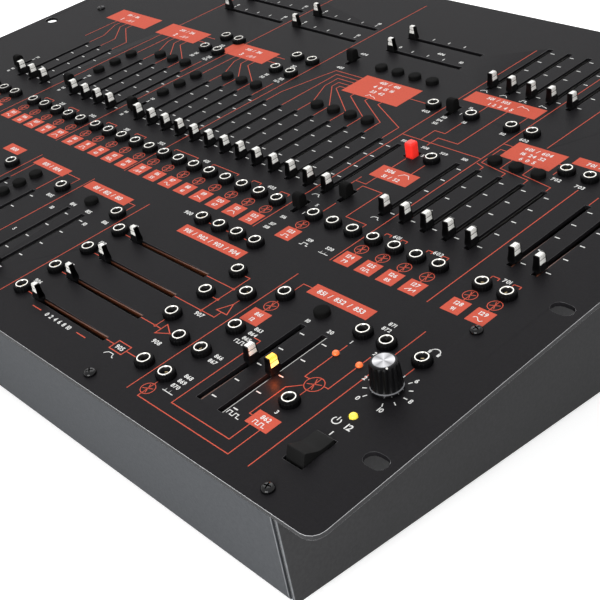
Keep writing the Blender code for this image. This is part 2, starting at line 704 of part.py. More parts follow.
def make_control_board(parts, frame, material):
    """Circuit board under the panel, with everything that is soldered to it."""
    mesh = bmesh.new()
    add_box(mesh, (BOARD_SIDE_INSET, BOARD_NEAR_INSET, BOARD_LOW),
            (PANEL_WIDTH - BOARD_SIDE_INSET, PANEL_LENGTH - BOARD_FAR_INSET, BOARD_TOP))
    board = make_object("control_board", mesh, parts, frame, material)

    notch = bmesh.new()
    frame_half_width = ROCKER_OPENING_HALF_WIDTH + FRAME_WALL + TOUCH_GAP
    frame_half_length = ROCKER_OPENING_HALF_LENGTH + FRAME_WALL + TOUCH_GAP
    add_box(notch, (COLUMN_POWER - frame_half_width, 0, BOARD_LOW - TOUCH_GAP),
            (PANEL_WIDTH, ROCKER_V + frame_half_length, 0))
    change_shape(board, "notch", notch, "DIFFERENCE", frame)

    bodies = bmesh.new()
    for place, half_u, half_v in body_halves():
        add_middle_box(bodies, place, half_u, half_v, BOARD_MIDDLE, UNDERSIDE)
    half_jack = JACK_BODY_WIDTH / 2
    for place in jack_places():
        add_middle_box(bodies, place, half_jack, half_jack, BOARD_MIDDLE, UNDERSIDE)
    half_pot = POT_BODY_WIDTH / 2
    add_middle_box(bodies, (COLUMN_POWER, KNOB_V), half_pot, half_pot, BOARD_MIDDLE, UNDERSIDE)
    add_middle_box(bodies, button_place(), BUTTON_WIDTH / 2, BUTTON_LENGTH / 2, BOARD_MIDDLE,
                   -BUTTON_DROP - BUTTON_TRAVEL - RUN_GAP)
    add_middle_box(bodies, (COLUMN_POWER, LED_V), LED_RADIUS, LED_RADIUS, BOARD_MIDDLE,
                   -LED_DROP - TOUCH_GAP)
    change_shape(board, "bodies", bodies, "UNION", frame)

    hollows = bmesh.new()
    for place, half_u, half_v in slot_halves():
        add_middle_box(hollows, place, half_u, half_v, -STEM_DEPTH - RUN_GAP, 0)
    add_cylinder(hollows, (COLUMN_POWER, KNOB_V), KNOB_SHAFT_RADIUS + RUN_GAP,
                 -KNOB_SHAFT_DROP - RUN_GAP, 0, KNOB_SHAFT_SIDES)
    half_stem = BUTTON_STEM_WIDTH / 2 + RUN_GAP
    add_middle_box(hollows, button_place(), half_stem, half_stem,
                   -BUTTON_DROP - BUTTON_STEM_DROP - BUTTON_TRAVEL - RUN_GAP, 0)
    change_shape(board, "hollows", hollows, "DIFFERENCE", frame)

    threads = bmesh.new()
    for place in jack_places():
        add_cylinder(threads, place, JACK_THREAD_RADIUS, UNDERSIDE - RUN_GAP,
                     TOUCH_GAP + JACK_NUT_HEIGHT / 2, JACK_THREAD_SIDES)
    add_still_caps(threads)
    change_shape(board, "threads", threads, "UNION", frame)

    nuts = bmesh.new()
    bores = bmesh.new()
    for place in jack_places():
        add_cylinder(nuts, place, JACK_NUT_RADIUS, TOUCH_GAP, TOUCH_GAP + JACK_NUT_HEIGHT,
                     JACK_NUT_SIDES)
        add_cylinder(bores, place, JACK_BORE_RADIUS, TOUCH_GAP + JACK_NUT_HEIGHT - JACK_BORE_DEPTH,
                     2 * JACK_NUT_HEIGHT, JACK_THREAD_SIDES)
    change_shape(board, "nuts", nuts, "UNION", frame)
    change_shape(board, "bores", bores, "DIFFERENCE", frame)


# Moving pieces on the panel

def place_copy(name, data, parts, frame, place, turn=0.0):
    """Object on the panel that shares its mesh with others."""
    made = bpy.data.objects.new(name, data)
    made.location = (place[0], place[1], 0.0)
    made.rotation_euler = (0.0, 0.0, turn)
    made.parent = frame
    parts.objects.link(made)


def make_faders(parts, frame, material):
    """Every moving fader: cap and lever, the origin where the lever meets the panel."""
    mesh = bmesh.new()
    add_cap(mesh, CAP_WIDTH, CAP_LENGTH, CAP_TOP_LENGTH, CAP_HEIGHT, STEM_LENGTH, -STEM_DEPTH)
    data = mesh_data("fader_cap", mesh)
    data.materials.append(material)
    for name, (u, v), rest in upright_faders():
        place_copy(name, data, parts, frame, (u, v + rest))
    for name, (u, v) in sideways_faders():
        place_copy(name, data, parts, frame, (u + FADER_REST, v), math.pi / 2)


def make_switches(parts, frame, material):
    """Every slide switch: a taller, blunter cap on a shorter lever."""
    mesh = bmesh.new()
    add_cap(mesh, SWITCH_CAP_WIDTH, SWITCH_CAP_LENGTH, SWITCH_CAP_TOP_LENGTH,
            SWITCH_CAP_HEIGHT, SWITCH_STEM_LENGTH, -STEM_DEPTH)
    data = mesh_data("switch_cap", mesh)
    data.materials.append(material)
    for name, (u, v), rest in slide_switches():
        place_copy(name, data, parts, frame, (u, v + rest))


def make_button(parts, frame, material):
    """Push button: a rounded block that goes down into the panel, on a square stem."""
    mesh = bmesh.new()
    half_u = BUTTON_WIDTH / 2
    half_v = BUTTON_LENGTH / 2
    add_rounded_box(mesh, (-half_u, -half_v, -BUTTON_DROP), (half_u, half_v, BUTTON_HEIGHT),
                    BUTTON_CORNER, 3)
    button = make_object("push_button", mesh, parts, frame, material)
    button.location = (*button_place(), 0.0)
    stem = bmesh.new()
    half_stem = BUTTON_STEM_WIDTH / 2
    add_middle_box(stem, (0.0, 0.0), half_stem, half_stem, -BUTTON_DROP - BUTTON_STEM_DROP, 0.0)
    change_shape(button, "stem", stem, "UNION", button)


def make_knob(parts, frame, material):
    """Volume knob with its shaft."""
    profile = [
        (0.0, KNOB_HEIGHT),
        (KNOB_TOP_RADIUS - KNOB_TOP_CHAMFER, KNOB_HEIGHT),
        (KNOB_TOP_RADIUS, KNOB_HEIGHT - KNOB_TOP_CHAMFER),
        (KNOB_RADIUS, KNOB_SKIRT_HEIGHT),
        (KNOB_RADIUS, KNOB_LIFT),
        (KNOB_SHAFT_RADIUS, KNOB_LIFT),
        (KNOB_SHAFT_RADIUS, -KNOB_SHAFT_DROP),
        (0.0, -KNOB_SHAFT_DROP),
    ]
    knob = make_turned("volume_knob", profile, KNOB_SIDES, parts, material, frame)
    knob.location = (COLUMN_POWER, KNOB_V, 0.0)


def make_power_light(parts, frame, material):
    """Round lens that stands in the panel over its flange."""
    profile = [
        (0.0, LED_RISE),
        (LED_RADIUS * 0.7, LED_RISE * 0.7),
        (LED_RADIUS, 0.0),
        (LED_RADIUS, -PANEL_THICKNESS - 2 * TOUCH_GAP),
        (LED_RADIUS + LED_FLANGE, -PANEL_THICKNESS - 2 * TOUCH_GAP),
        (LED_RADIUS + LED_FLANGE, -LED_DROP),
        (0.0, -LED_DROP),
    ]
    light = make_turned("power_light", profile, LED_SIDES, parts, material, frame)
    light.location = (COLUMN_POWER, LED_V, 0.0)


def make_rocker(parts, frame, material):
    """Power rocker on its two pins, tipped so that its far end is pressed."""
    top = ROCKER_TOP_LENGTH / 2
    foot = ROCKER_FOOT_LENGTH / 2
    keel = ROCKER_KEEL_LENGTH / 2
    outline = [
        (-foot, 0.0),
        (-top, ROCKER_RISE + ROCKER_PIVOT_DEPTH),
        (0.0, ROCKER_VALLEY + ROCKER_PIVOT_DEPTH),
        (top, ROCKER_RISE + ROCKER_PIVOT_DEPTH),
        (foot, 0.0),
        (foot, -ROCKER_SKIRT_DROP),
        (keel, -ROCKER_KEEL_DROP),
        (-keel, -ROCKER_KEEL_DROP),
        (-foot, -ROCKER_SKIRT_DROP),
    ]
    mesh = bmesh.new()
    add_side_outline(mesh, outline, -ROCKER_WIDTH / 2, ROCKER_WIDTH / 2)
    rocker = make_object("power_rocker", mesh, parts, frame, material)
    rocker.location = (COLUMN_POWER, ROCKER_V, -ROCKER_PIVOT_DEPTH)
    rocker.rotation_euler = (-ROCKER_TILT, 0.0, 0.0)
    pins = bmesh.new()
    reach = ROCKER_WIDTH / 2 + ROCKER_PIN_REACH
    add_side_cylinder(pins, ROCKER_PIN_RADIUS, -reach, reach, 8)
    change_shape(rocker, "pins", pins, "UNION", rocker)


def make_rocker_frame(parts, frame, material):
    """Switch housing under the panel, with two cheeks that carry the rocker's pins."""
    half_width = ROCKER_OPENING_HALF_WIDTH
    half_length = ROCKER_OPENING_HALF_LENGTH
    place = (COLUMN_POWER, ROCKER_V)
    mesh = bmesh.new()
    add_middle_box(mesh, place, half_width + FRAME_WALL, half_length + FRAME_WALL, -FRAME_DEPTH,
                   UNDERSIDE)
    housing = make_object("rocker_frame", mesh, parts, frame, material)
    cheeks = bmesh.new()
    add_middle_box(cheeks, place, half_width + CHEEK_THICKNESS, CHEEK_LENGTH / 2,
                   UNDERSIDE - FRAME_WALL, -CHEEK_DROP)
    change_shape(housing, "cheeks", cheeks, "UNION", frame)
    cavity = bmesh.new()
    add_middle_box(cavity, place, half_width, half_length, -FRAME_CAVITY_DEPTH, CUT_OVER)
    change_shape(housing, "cavity", cavity, "DIFFERENCE", frame)
    bearings = bmesh.new()
    half_slot = ROCKER_PIN_RADIUS + TOUCH_GAP
    add_middle_box(bearings, place, half_width + CHEEK_THICKNESS + FRAME_WALL, half_slot,
                   -ROCKER_PIVOT_DEPTH - half_slot, CUT_OVER)
    change_shape(housing, "bearings", bearings, "DIFFERENCE", frame)


# Case

def make_case_tray(parts, frame, material):
    """Front wall, floor and back wall folded from one sheet, with a lip under each panel edge."""
    profile = [
        (WALL_INSET + LIP_DEPTH, UNDERSIDE),
        (WALL_INSET, UNDERSIDE),
        (WALL_INSET, floor_w(WALL_INSET)),
        (BACK_WALL_V, floor_w(BACK_WALL_V)),
        (BACK_WALL_V, UNDERSIDE),
        (BACK_WALL_V - LIP_DEPTH, UNDERSIDE),
    ]
    end = EAR_WIDTH + SIDE_SHEET + SEAM_GAP
    mesh = bmesh.new()
    left = [mesh.verts.new((end, v, w)) for v, w in profile]
    right = [mesh.verts.new((PANEL_WIDTH - end, v, w)) for v, w in profile]
    folds = [mesh.edges.new(pair) for pair in list(zip(left, right))[1:-1]]
    for step in range(len(profile) - 1):
        mesh.faces.new((left[step], left[step + 1], right[step + 1], right[step]))
    bmesh.ops.bevel(mesh, geom=folds, offset=BEND_RADIUS, segments=2, profile=ROUND_PROFILE,
                    affect="EDGES")
    tray = make_object("case_tray", mesh, parts, frame, material)
    shell = tray.modifiers.new("sheet", "SOLIDIFY")
    shell.thickness = SHEET
    shell.offset = -1.0
    shell.use_even_offset = True
    cuts = bmesh.new()
    low = BACK_WALL_V - 2 * SHEET
    high = BACK_WALL_V + 2 * SHEET
    for u in output_places():
        add_back_cylinder(cuts, (u, REAR_ROW_W), OUTPUT_THREAD_RADIUS + RUN_GAP, low, high,
                          ROUND_SIDES)
    for u in data_socket_places():
        add_back_cylinder(cuts, (u, REAR_ROW_W), DATA_SOCKET_RADIUS + RUN_GAP, low, high,
                          ROUND_SIDES)
    half_u = INLET_WIDTH / 2 + RUN_GAP
    half_w = INLET_HEIGHT / 2 + RUN_GAP
    add_box(cuts, (COLUMN_INLET - half_u, low, REAR_ROW_W - half_w),
            (COLUMN_INLET + half_u, high, REAR_ROW_W + half_w))
    change_shape(tray, "rear_holes", cuts, "DIFFERENCE", frame)


def make_side_plates(parts, frame, material):
    """Two wedge-shaped sides, each with a flange under the panel and one on the floor."""
    outline = [
        (WALL_INSET, UNDERSIDE),
        (WALL_INSET, floor_w(WALL_INSET)),
        (BACK_WALL_V, floor_w(BACK_WALL_V)),
        (BACK_WALL_V, UNDERSIDE),
    ]
    near = WALL_INSET + LIP_DEPTH + FLANGE_CLEARANCE
    far = BACK_WALL_V - LIP_DEPTH - FLANGE_CLEARANCE
    lift = (SHEET + TOUCH_GAP) / math.cos(TILT)
    thick = SIDE_SHEET / math.cos(TILT)
    top_flange = [(near, UNDERSIDE), (far, UNDERSIDE), (far, UNDERSIDE - SIDE_SHEET),
                  (near, UNDERSIDE - SIDE_SHEET)]
    floor_flange = [(near, floor_w(near) + lift), (far, floor_w(far) + lift),
                    (far, floor_w(far) + lift + thick), (near, floor_w(near) + lift + thick)]
    sides = {"side_plate_left": (EAR_WIDTH, 1), "side_plate_right": (PANEL_WIDTH - EAR_WIDTH, -1)}
    for name, (face, inward) in sides.items():
        mesh = bmesh.new()
        add_side_outline(mesh, outline, face, face + inward * SIDE_SHEET)
        plate = make_object(name, mesh, parts, frame, material)
        root = face + inward * SIDE_SHEET / 2
        flanges = bmesh.new()
        add_side_outline(flanges, top_flange, root,
                         face + inward * (SIDE_SHEET + TOP_FLANGE_WIDTH))
        add_side_outline(flanges, floor_flange, root,
                         face + inward * (SIDE_SHEET + FLOOR_FLANGE_WIDTH))
        change_shape(plate, "flanges", flanges, "UNION", frame)
        tabs = bmesh.new()
        end = face + inward * (SIDE_SHEET + TAB_REACH)
        for v in (SCREW_ROW_V, PANEL_LENGTH - SCREW_ROW_V):
            add_box(tabs, (min(root, end), v - TAB_LENGTH / 2, UNDERSIDE - SIDE_SHEET),
                    (max(root, end), v + TAB_LENGTH / 2, UNDERSIDE))
        change_shape(plate, "tabs", tabs, "UNION", frame)


def make_feet(parts, material):
    """Four rubber feet under the floor."""
    front_y = PANEL_ORIGIN.y + WALL_INSET * math.cos(TILT) + FRONT_DEPTH * math.sin(TILT)
    profile = [
        (0.0, FOOT_HEIGHT - TOUCH_GAP),
        (FOOT_RADIUS, FOOT_HEIGHT - TOUCH_GAP),
        (FOOT_RADIUS - FOOT_TAPER, 0.0),
        (0.0, 0.0),
    ]
    rows = {"front": front_y + FOOT_INSET_Y, "back": DEPTH_OVER_ALL / 2 - FOOT_INSET_Y}
    columns = {"left": FOOT_INSET_X - CASE_HALF_WIDTH, "right": CASE_HALF_WIDTH - FOOT_INSET_X}
    for row, y in rows.items():
        for column, x in columns.items():
            foot = make_turned(f"foot_{row}_{column}", profile, FOOT_SIDES, parts, material)
            foot.location = (x, y, 0.0)


# Rear sockets and the boards on the floor

def make_mains_inlet(parts, frame, material):
    """Mains inlet whose flange lies on the outside of the back wall."""
    face = BACK_WALL_V + TOUCH_GAP
    half_u = INLET_WIDTH / 2
    half_w = INLET_HEIGHT / 2
    mesh = bmesh.new()
    add_box(mesh, (COLUMN_INLET - INLET_FLANGE_WIDTH / 2, face, REAR_ROW_W - INLET_FLANGE_HEIGHT / 2),
            (COLUMN_INLET + INLET_FLANGE_WIDTH / 2, face + INLET_FLANGE,
             REAR_ROW_W + INLET_FLANGE_HEIGHT / 2))
    inlet = make_object("mains_inlet", mesh, parts, frame, material)
    body = bmesh.new()
    add_box(body, (COLUMN_INLET - half_u, face - INLET_BODY_DEPTH, REAR_ROW_W - half_w),
            (COLUMN_INLET + half_u, face + INLET_FLANGE / 2, REAR_ROW_W + half_w))
    change_shape(inlet, "body", body, "UNION", frame)
    cavity = bmesh.new()
    half_u -= INLET_CAVITY_WALL
    half_w -= INLET_CAVITY_WALL
    add_box(cavity, (COLUMN_INLET - half_u, face + INLET_FLANGE - INLET_CAVITY_DEPTH,
                     REAR_ROW_W - half_w),
            (COLUMN_INLET + half_u, face + 2 * INLET_FLANGE, REAR_ROW_W + half_w))
    change_shape(inlet, "cavity", cavity, "DIFFERENCE", frame)


def make_rear_board(parts, frame, material):
    """Small board inside the back wall that carries the output and data sockets."""
    inside = BACK_WALL_V - SHEET - TOUCH_GAP
    board_front = inside - REAR_BODY_DEPTH
    half_height = REAR_BOARD_HEIGHT / 2
    columns = output_places() + data_socket_places()
    mesh = bmesh.new()
    add_box(mesh, (columns[0] - REAR_BOARD_END, board_front - BOARD_THICKNESS,
                   REAR_ROW_W - half_height),
            (columns[-1] + REAR_BOARD_END, board_front, REAR_ROW_W + half_height))
    board = make_object("rear_socket_board", mesh, parts, frame, material)
    bodies = bmesh.new()
    threads = bmesh.new()
    nuts = bmesh.new()
    bores = bmesh.new()
    root = board_front - BOARD_THICKNESS / 2
    outside = BACK_WALL_V + TOUCH_GAP
    for u in output_places():
        half = OUTPUT_BODY_WIDTH / 2
        place = (u, REAR_ROW_W)
        add_box(bodies, (u - half, root, REAR_ROW_W - half), (u + half, inside, REAR_ROW_W + half))
        add_back_cylinder(threads, place, OUTPUT_THREAD_RADIUS, inside - SHEET,
                          outside + OUTPUT_NUT_HEIGHT / 2, ROUND_SIDES)
        add_back_cylinder(nuts, place, OUTPUT_NUT_RADIUS, outside, outside + OUTPUT_NUT_HEIGHT, 6)
        add_back_cylinder(bores, place, OUTPUT_BORE_RADIUS, outside - OUTPUT_BORE_DEPTH,
                          outside + 2 * OUTPUT_NUT_HEIGHT, ROUND_SIDES)
    for u in data_socket_places():
        half = DATA_SOCKET_BODY / 2
        add_box(bodies, (u - half, root, REAR_ROW_W - half), (u + half, inside, REAR_ROW_W + half))
        add_back_cylinder(threads, (u, REAR_ROW_W), DATA_SOCKET_RADIUS, inside - SHEET,
                          BACK_WALL_V + DATA_SOCKET_RISE, ROUND_SIDES)
    change_shape(board, "bodies", bodies, "UNION", frame)
    change_shape(board, "threads", threads, "UNION", frame)
    change_shape(board, "nuts", nuts, "UNION", frame)
    change_shape(board, "bores", bores, "DIFFERENCE", frame)


def make_floor_board(name, parts, material, centre, width, length):
    """Board on four standoffs over the floor; returns it and the height of its top."""
    under = FLOOR_TOP + TOUCH_GAP + STANDOFF_HEIGHT
    top = under + BOARD_THICKNESS
    mesh = bmesh.new()
    add_middle_box(mesh, centre, width / 2, length / 2, under, top)
    board = make_object(name, mesh, parts, None, material)
    legs = bmesh.new()
    for side in (-1, 1):
        for end in (-1, 1):
            place = (centre[0] + side * (width / 2 - STANDOFF_INSET),
                     centre[1] + end * (length / 2 - STANDOFF_INSET))
            add_cylinder(legs, place, STANDOFF_RADIUS, FLOOR_TOP + TOUCH_GAP,
                         under + BOARD_THICKNESS / 2, STANDOFF_SIDES)
    change_shape(board, "standoffs", legs, "UNION")
    return board, top


def make_voice_board(parts, material):
    """Main circuit board with its rows of chips."""
    centre = (VOICE_BOARD_X, VOICE_BOARD_Y)
    board, top = make_floor_board("voice_board", parts, material, centre, VOICE_BOARD_WIDTH,
                                  VOICE_BOARD_LENGTH)
    chips = bmesh.new()
    for column in range(CHIP_COLUMNS):
        for row in range(CHIP_ROWS):
            place = (centre[0] + (column - (CHIP_COLUMNS - 1) / 2) * CHIP_PITCH_X,
                     centre[1] + (row - (CHIP_ROWS - 1) / 2) * CHIP_PITCH_Y)
            add_middle_box(chips, place, CHIP_LENGTH / 2, CHIP_WIDTH / 2,
                           top - BOARD_THICKNESS / 2, top + CHIP_HEIGHT)
    change_shape(board, "chips", chips, "UNION")


def make_power_supply(parts, material):
    """Power board with its transformer, smoothing capacitors and finned heat sink."""
    centre = (POWER_BOARD_X, POWER_BOARD_Y)
    board, top = make_floor_board("power_supply", parts, material, centre, POWER_BOARD_WIDTH,
                                  POWER_BOARD_LENGTH)
    root = top - BOARD_THICKNESS / 2
    parts_on_board = bmesh.new()
    half = TRANSFORMER_SIZE / 2
    add_middle_box(parts_on_board, (centre[0] + TRANSFORMER_X, centre[1] + TRANSFORMER_Y),
                   half, half, root, top + TRANSFORMER_HEIGHT)
    for step in range(CAPACITOR_COUNT):
        place = (centre[0] + (step - (CAPACITOR_COUNT - 1) / 2) * CAPACITOR_PITCH,
                 centre[1] + CAPACITOR_Y)
        add_cylinder(parts_on_board, place, CAPACITOR_RADIUS, root, top + CAPACITOR_HEIGHT,
                     ROUND_SIDES)
    sink_y = centre[1] + SINK_Y
    add_middle_box(parts_on_board, (centre[0], sink_y), SINK_WIDTH / 2, SINK_BASE / 2, root,
                   top + SINK_HEIGHT)
    change_shape(board, "components", parts_on_board, "UNION")
    fins = bmesh.new()
    pitch = (SINK_WIDTH - FIN_THICKNESS) / (FIN_COUNT - 1)
    for step in range(FIN_COUNT):
        u = centre[0] + (step - (FIN_COUNT - 1) / 2) * pitch
        add_box(fins, (u - FIN_THICKNESS / 2, sink_y, root),
                (u + FIN_THICKNESS / 2, sink_y + SINK_BASE / 2 + FIN_DEPTH, top + SINK_HEIGHT))
    change_shape(board, "fins", fins, "UNION")


def build():
    """Make the whole synthesizer."""
    clear_scene()
    parts = new_collection("semi_modular_synthesizer")
    new_collection("cutters")
    frame = make_panel_frame(parts)
    black_steel = new_material("black_steel", (0.024, 0.024, 0.026), 0.55, 0.2)
    grey_steel = new_material("grey_steel", (0.060, 0.062, 0.065), 0.45, 0.3)
    black_plastic = new_material("black_plastic", (0.015, 0.015, 0.016), 0.45)
    cap_plastic = new_material("cap_plastic", (0.60, 0.60, 0.57), 0.4)
    red_plastic = new_material("red_plastic", (0.75, 0.02, 0.02), 0.35)
    amber_lens = new_material("amber_lens", (0.95, 0.55, 0.05), 0.2)
    board_green = new_material("board_green", (0.02, 0.10, 0.05), 0.5)
    foot_rubber = new_material("foot_rubber", (0.012, 0.012, 0.012), 0.9)
    make_front_panel(parts, frame, black_steel)
    make_case_tray(parts, frame, grey_steel)
    make_side_plates(parts, frame, grey_steel)
    make_feet(parts, foot_rubber)
    make_control_board(parts, frame, board_green)
    make_faders(parts, frame, cap_plastic)
    make_switches(parts, frame, black_plastic)
    make_button(parts, frame, red_plastic)
    make_knob(parts, frame, black_plastic)
    make_power_light(parts, frame, amber_lens)
    make_rocker(parts, frame, black_plastic)
    make_rocker_frame(parts, frame, black_plastic)
    make_mains_inlet(parts, frame, black_plastic)
    make_rear_board(parts, frame, board_green)
    make_voice_board(parts, board_green)
    make_power_supply(parts, board_green)


build()
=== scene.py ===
# %% [markdown]
# # A semi-modular synthesizer for the desk
#
# The real object is a wedge of folded steel under a rack-width panel. The panel carries sliding
# faders, patch sockets, switches, a knob and a rocker, and all its graphics are printed on it.
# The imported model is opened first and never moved. It says where each moving piece sits, so each
# piece made here is only a better-looking stand-in on the same spot.

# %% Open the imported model
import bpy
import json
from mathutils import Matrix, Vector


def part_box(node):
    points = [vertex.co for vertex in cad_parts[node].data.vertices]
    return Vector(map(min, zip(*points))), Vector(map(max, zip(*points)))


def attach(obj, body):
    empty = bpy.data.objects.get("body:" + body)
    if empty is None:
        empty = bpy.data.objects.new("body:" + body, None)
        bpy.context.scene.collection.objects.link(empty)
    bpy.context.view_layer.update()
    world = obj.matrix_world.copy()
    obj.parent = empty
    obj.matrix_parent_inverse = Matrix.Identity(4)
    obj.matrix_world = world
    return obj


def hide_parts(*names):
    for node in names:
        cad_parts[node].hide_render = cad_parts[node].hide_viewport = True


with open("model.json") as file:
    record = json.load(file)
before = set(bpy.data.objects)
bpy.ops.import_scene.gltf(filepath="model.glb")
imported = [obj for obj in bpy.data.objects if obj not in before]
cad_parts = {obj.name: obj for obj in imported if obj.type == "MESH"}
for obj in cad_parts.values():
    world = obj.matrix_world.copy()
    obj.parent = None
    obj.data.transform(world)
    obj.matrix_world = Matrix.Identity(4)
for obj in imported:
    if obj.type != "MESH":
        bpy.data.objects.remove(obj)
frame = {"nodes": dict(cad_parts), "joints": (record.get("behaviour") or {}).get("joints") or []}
print(len(frame["nodes"]), "solids in the packed model")

# %% [markdown]
# The modules used below are brought in again, and the scene is brought up to date.

# %% Bring in the modules and update the scene
import json
import math

import bmesh
import bpy
from mathutils import Matrix, Quaternion, Vector


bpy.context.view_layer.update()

# %% [markdown]
# ## A ruler on the panel
#
# A maker lays this panel out from its near left corner: u to the right, v up the panel, w out of
# it, in millimetres. The panel leans, so typing world positions by hand would be slow and easy to
# get wrong. The knob turns about the panel's own normal and the faders slide up the panel, so
# these two joints give the directions, and the knob's place gives the corner.

# %% Find the panel's corner and directions
MM = 0.001
PANEL_WIDTH = 482.6
PANEL_LENGTH = 354.8
EAR = 18.8
PITCHES_ACROSS = 36.7
STEPS_ALONG = 29.25
PITCH = (PANEL_WIDTH - 2 * EAR) / PITCHES_ACROSS
STEP = PANEL_LENGTH / STEPS_ALONG
JOINTS = {joint["child"]: joint for joint in frame["joints"]}


def column(steps):
    """u of a column of the layout grid."""
    return EAR + steps * PITCH


def row(steps):
    """v of a row of the layout grid."""
    return steps * STEP


KNOB = (column(35.74), row(5.52))
OUT = Vector(JOINTS["volume_knob"]["axis"])
UP = Vector(JOINTS["fader_filter_1"]["axis"])
RIGHT = UP.cross(OUT)
PANEL = Matrix((RIGHT, UP, OUT)).transposed().to_4x4()
PANEL.translation = Vector(JOINTS["volume_knob"]["pos_m"]) - MM * (KNOB[0] * RIGHT + KNOB[1] * UP)
print("panel corner", [round(value, 4) for value in PANEL.translation])

# %% [markdown]
# Each piece is drawn in millimetres round its own middle, then set down on the panel by one
# matrix. Pieces that are alike share one mesh, as parts from one mould do.

# %% Helpers that finish a mesh and set it down
def on_panel(u, v, w=0.0, turn=0.0):
    """Place on the panel, turned by some degrees about the panel's normal."""
    shift = Matrix.Translation(Vector((u, v, w)) * MM)
    return PANEL @ shift @ Matrix.Rotation(math.radians(turn), 4, "Z")


CREASE = math.radians(35.0)


def finish_mesh(name, mesh, *finishes):
    """Turn a bmesh in millimetres into mesh data in metres, smooth up to a crease angle."""
    bmesh.ops.recalc_face_normals(mesh, faces=mesh.faces)
    bmesh.ops.scale(mesh, vec=(MM, MM, MM), verts=mesh.verts)
    data = bpy.data.meshes.new(name)
    mesh.to_mesh(data)
    mesh.free()
    for finish in finishes:
        data.materials.append(finish)
    data.shade_smooth()
    data.set_sharp_from_angle(angle=CREASE)
    return data


def new_object(name, data):
    """Make an object that shows in the scene."""
    made = bpy.data.objects.new(name, data)
    bpy.context.scene.collection.objects.link(made)
    return made


def put(name, data, place, body="case", stands_for=()):
    """Set a piece down, and let it ride on its body."""
    piece = new_object(name, data)
    piece.matrix_world = place
    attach(piece, body)
    if stands_for:
        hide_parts(*stands_for)
    return piece


print("far right corner", [round(value, 3) for value in
                           on_panel(PANEL_WIDTH, PANEL_LENGTH).translation])

# %% [markdown]
# ## Finishes
#
# Steel, plastic, rubber and ink all start from one Principled shader. Noise in the object's own
# coordinates shifts the colour a little, and a finer noise drives the roughness and a bump, so a
# coat of paint gets its grain and a moulding its slight unevenness. Colours are written as they
# look on a screen, and turned into the linear values that the shader wants.

# %% Helpers for nodes
def linear(*screen):
    """Screen colour, 0 to 255, as the shader's linear colour."""
    parts = [value / 255 for value in screen]
    return [part / 12.92 if part <= 0.04045 else ((part + 0.055) / 1.055) ** 2.4 for part in parts]


def join(material, source, output, target, entry):
    """Link two sockets of a material or of the world."""
    material.node_tree.links.new(source.outputs[output], target.inputs[entry])


def principled(material):
    """The main shader of a material."""
    return material.node_tree.nodes["Principled BSDF"]


def factor(node):
    """Name of a node's plain output, which isn't the same in every Blender."""
    return "Factor" if "Factor" in node.outputs else "Fac"


def set_ramp(ramp, *screens):
    """Give the stops of a colour ramp their screen colours."""
    for stop, screen in zip(ramp.color_ramp.elements, screens):
        stop.color = (*linear(*screen), 1.0)


def add_node(material, kind, **values):
    """Add a node, and set its properties or its sockets by name."""
    made = material.node_tree.nodes.new(kind)
    for name, value in values.items():
        entry = name.replace("_", " ")
        if entry in made.inputs:
            made.inputs[entry].default_value = value
        else:
            setattr(made, name, value)
    return made


print("screen grey 128 is", round(linear(128)[0], 3), "in the shader")

# %% A finish from one shader and two noises
def new_finish(name, screen, rough, metal=0.0, patch=0.12, patches=60.0, grain=900.0, bump=0.1,
               uneven=0.06, **sockets):
    """Principled material whose colour, roughness and surface vary by noise."""
    made = bpy.data.materials.new(name)
    made.use_nodes = True
    shader = principled(made)
    shader.inputs["Metallic"].default_value = metal
    for socket, value in sockets.items():
        shader.inputs[socket.replace("_", " ")].default_value = value
    place = add_node(made, "ShaderNodeTexCoord")
    clouds = add_node(made, "ShaderNodeTexNoise", Scale=patches, Detail=4.0)
    join(made, place, "Object", clouds, "Vector")
    colours = add_node(made, "ShaderNodeValToRGB")
    base = linear(*screen)
    for stop, side in zip(colours.color_ramp.elements, (1 - patch, 1 + patch)):
        stop.color = (*[min(1.0, value * side) for value in base], 1.0)
    colours.color_ramp.elements[0].position = 0.3
    colours.color_ramp.elements[1].position = 0.7
    join(made, clouds, factor(clouds), colours, "Fac")
    join(made, colours, "Color", shader, "Base Color")
    specks = add_node(made, "ShaderNodeTexNoise", Scale=grain, Detail=2.0)
    join(made, place, "Object", specks, "Vector")
    shine = add_node(made, "ShaderNodeMapRange", To_Min=rough - uneven, To_Max=rough + uneven)
    join(made, specks, factor(specks), shine, "Value")
    join(made, shine, "Result", shader, "Roughness")
    relief = add_node(made, "ShaderNodeBump", Strength=bump, Distance=0.0002)
    join(made, specks, factor(specks), relief, "Height")
    join(made, relief, "Normal", shader, "Normal")
    return made


# %% [markdown]
# The panel is powder coated in matt black with a fine, dry grain. The case below it has a paler
# coat. Its side plates get the same coat painted a touch darker, a painted shade, because they
# pick up less of the room. The edges of the sheets get a lighter tone of the same coat, a painted
# highlight where they catch the light.

# %% Paint for the panel and the case
def dress(name, *finishes):
    """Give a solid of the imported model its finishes."""
    slots = frame["nodes"][name].data.materials
    slots.clear()
    for finish in finishes:
        slots.append(finish)


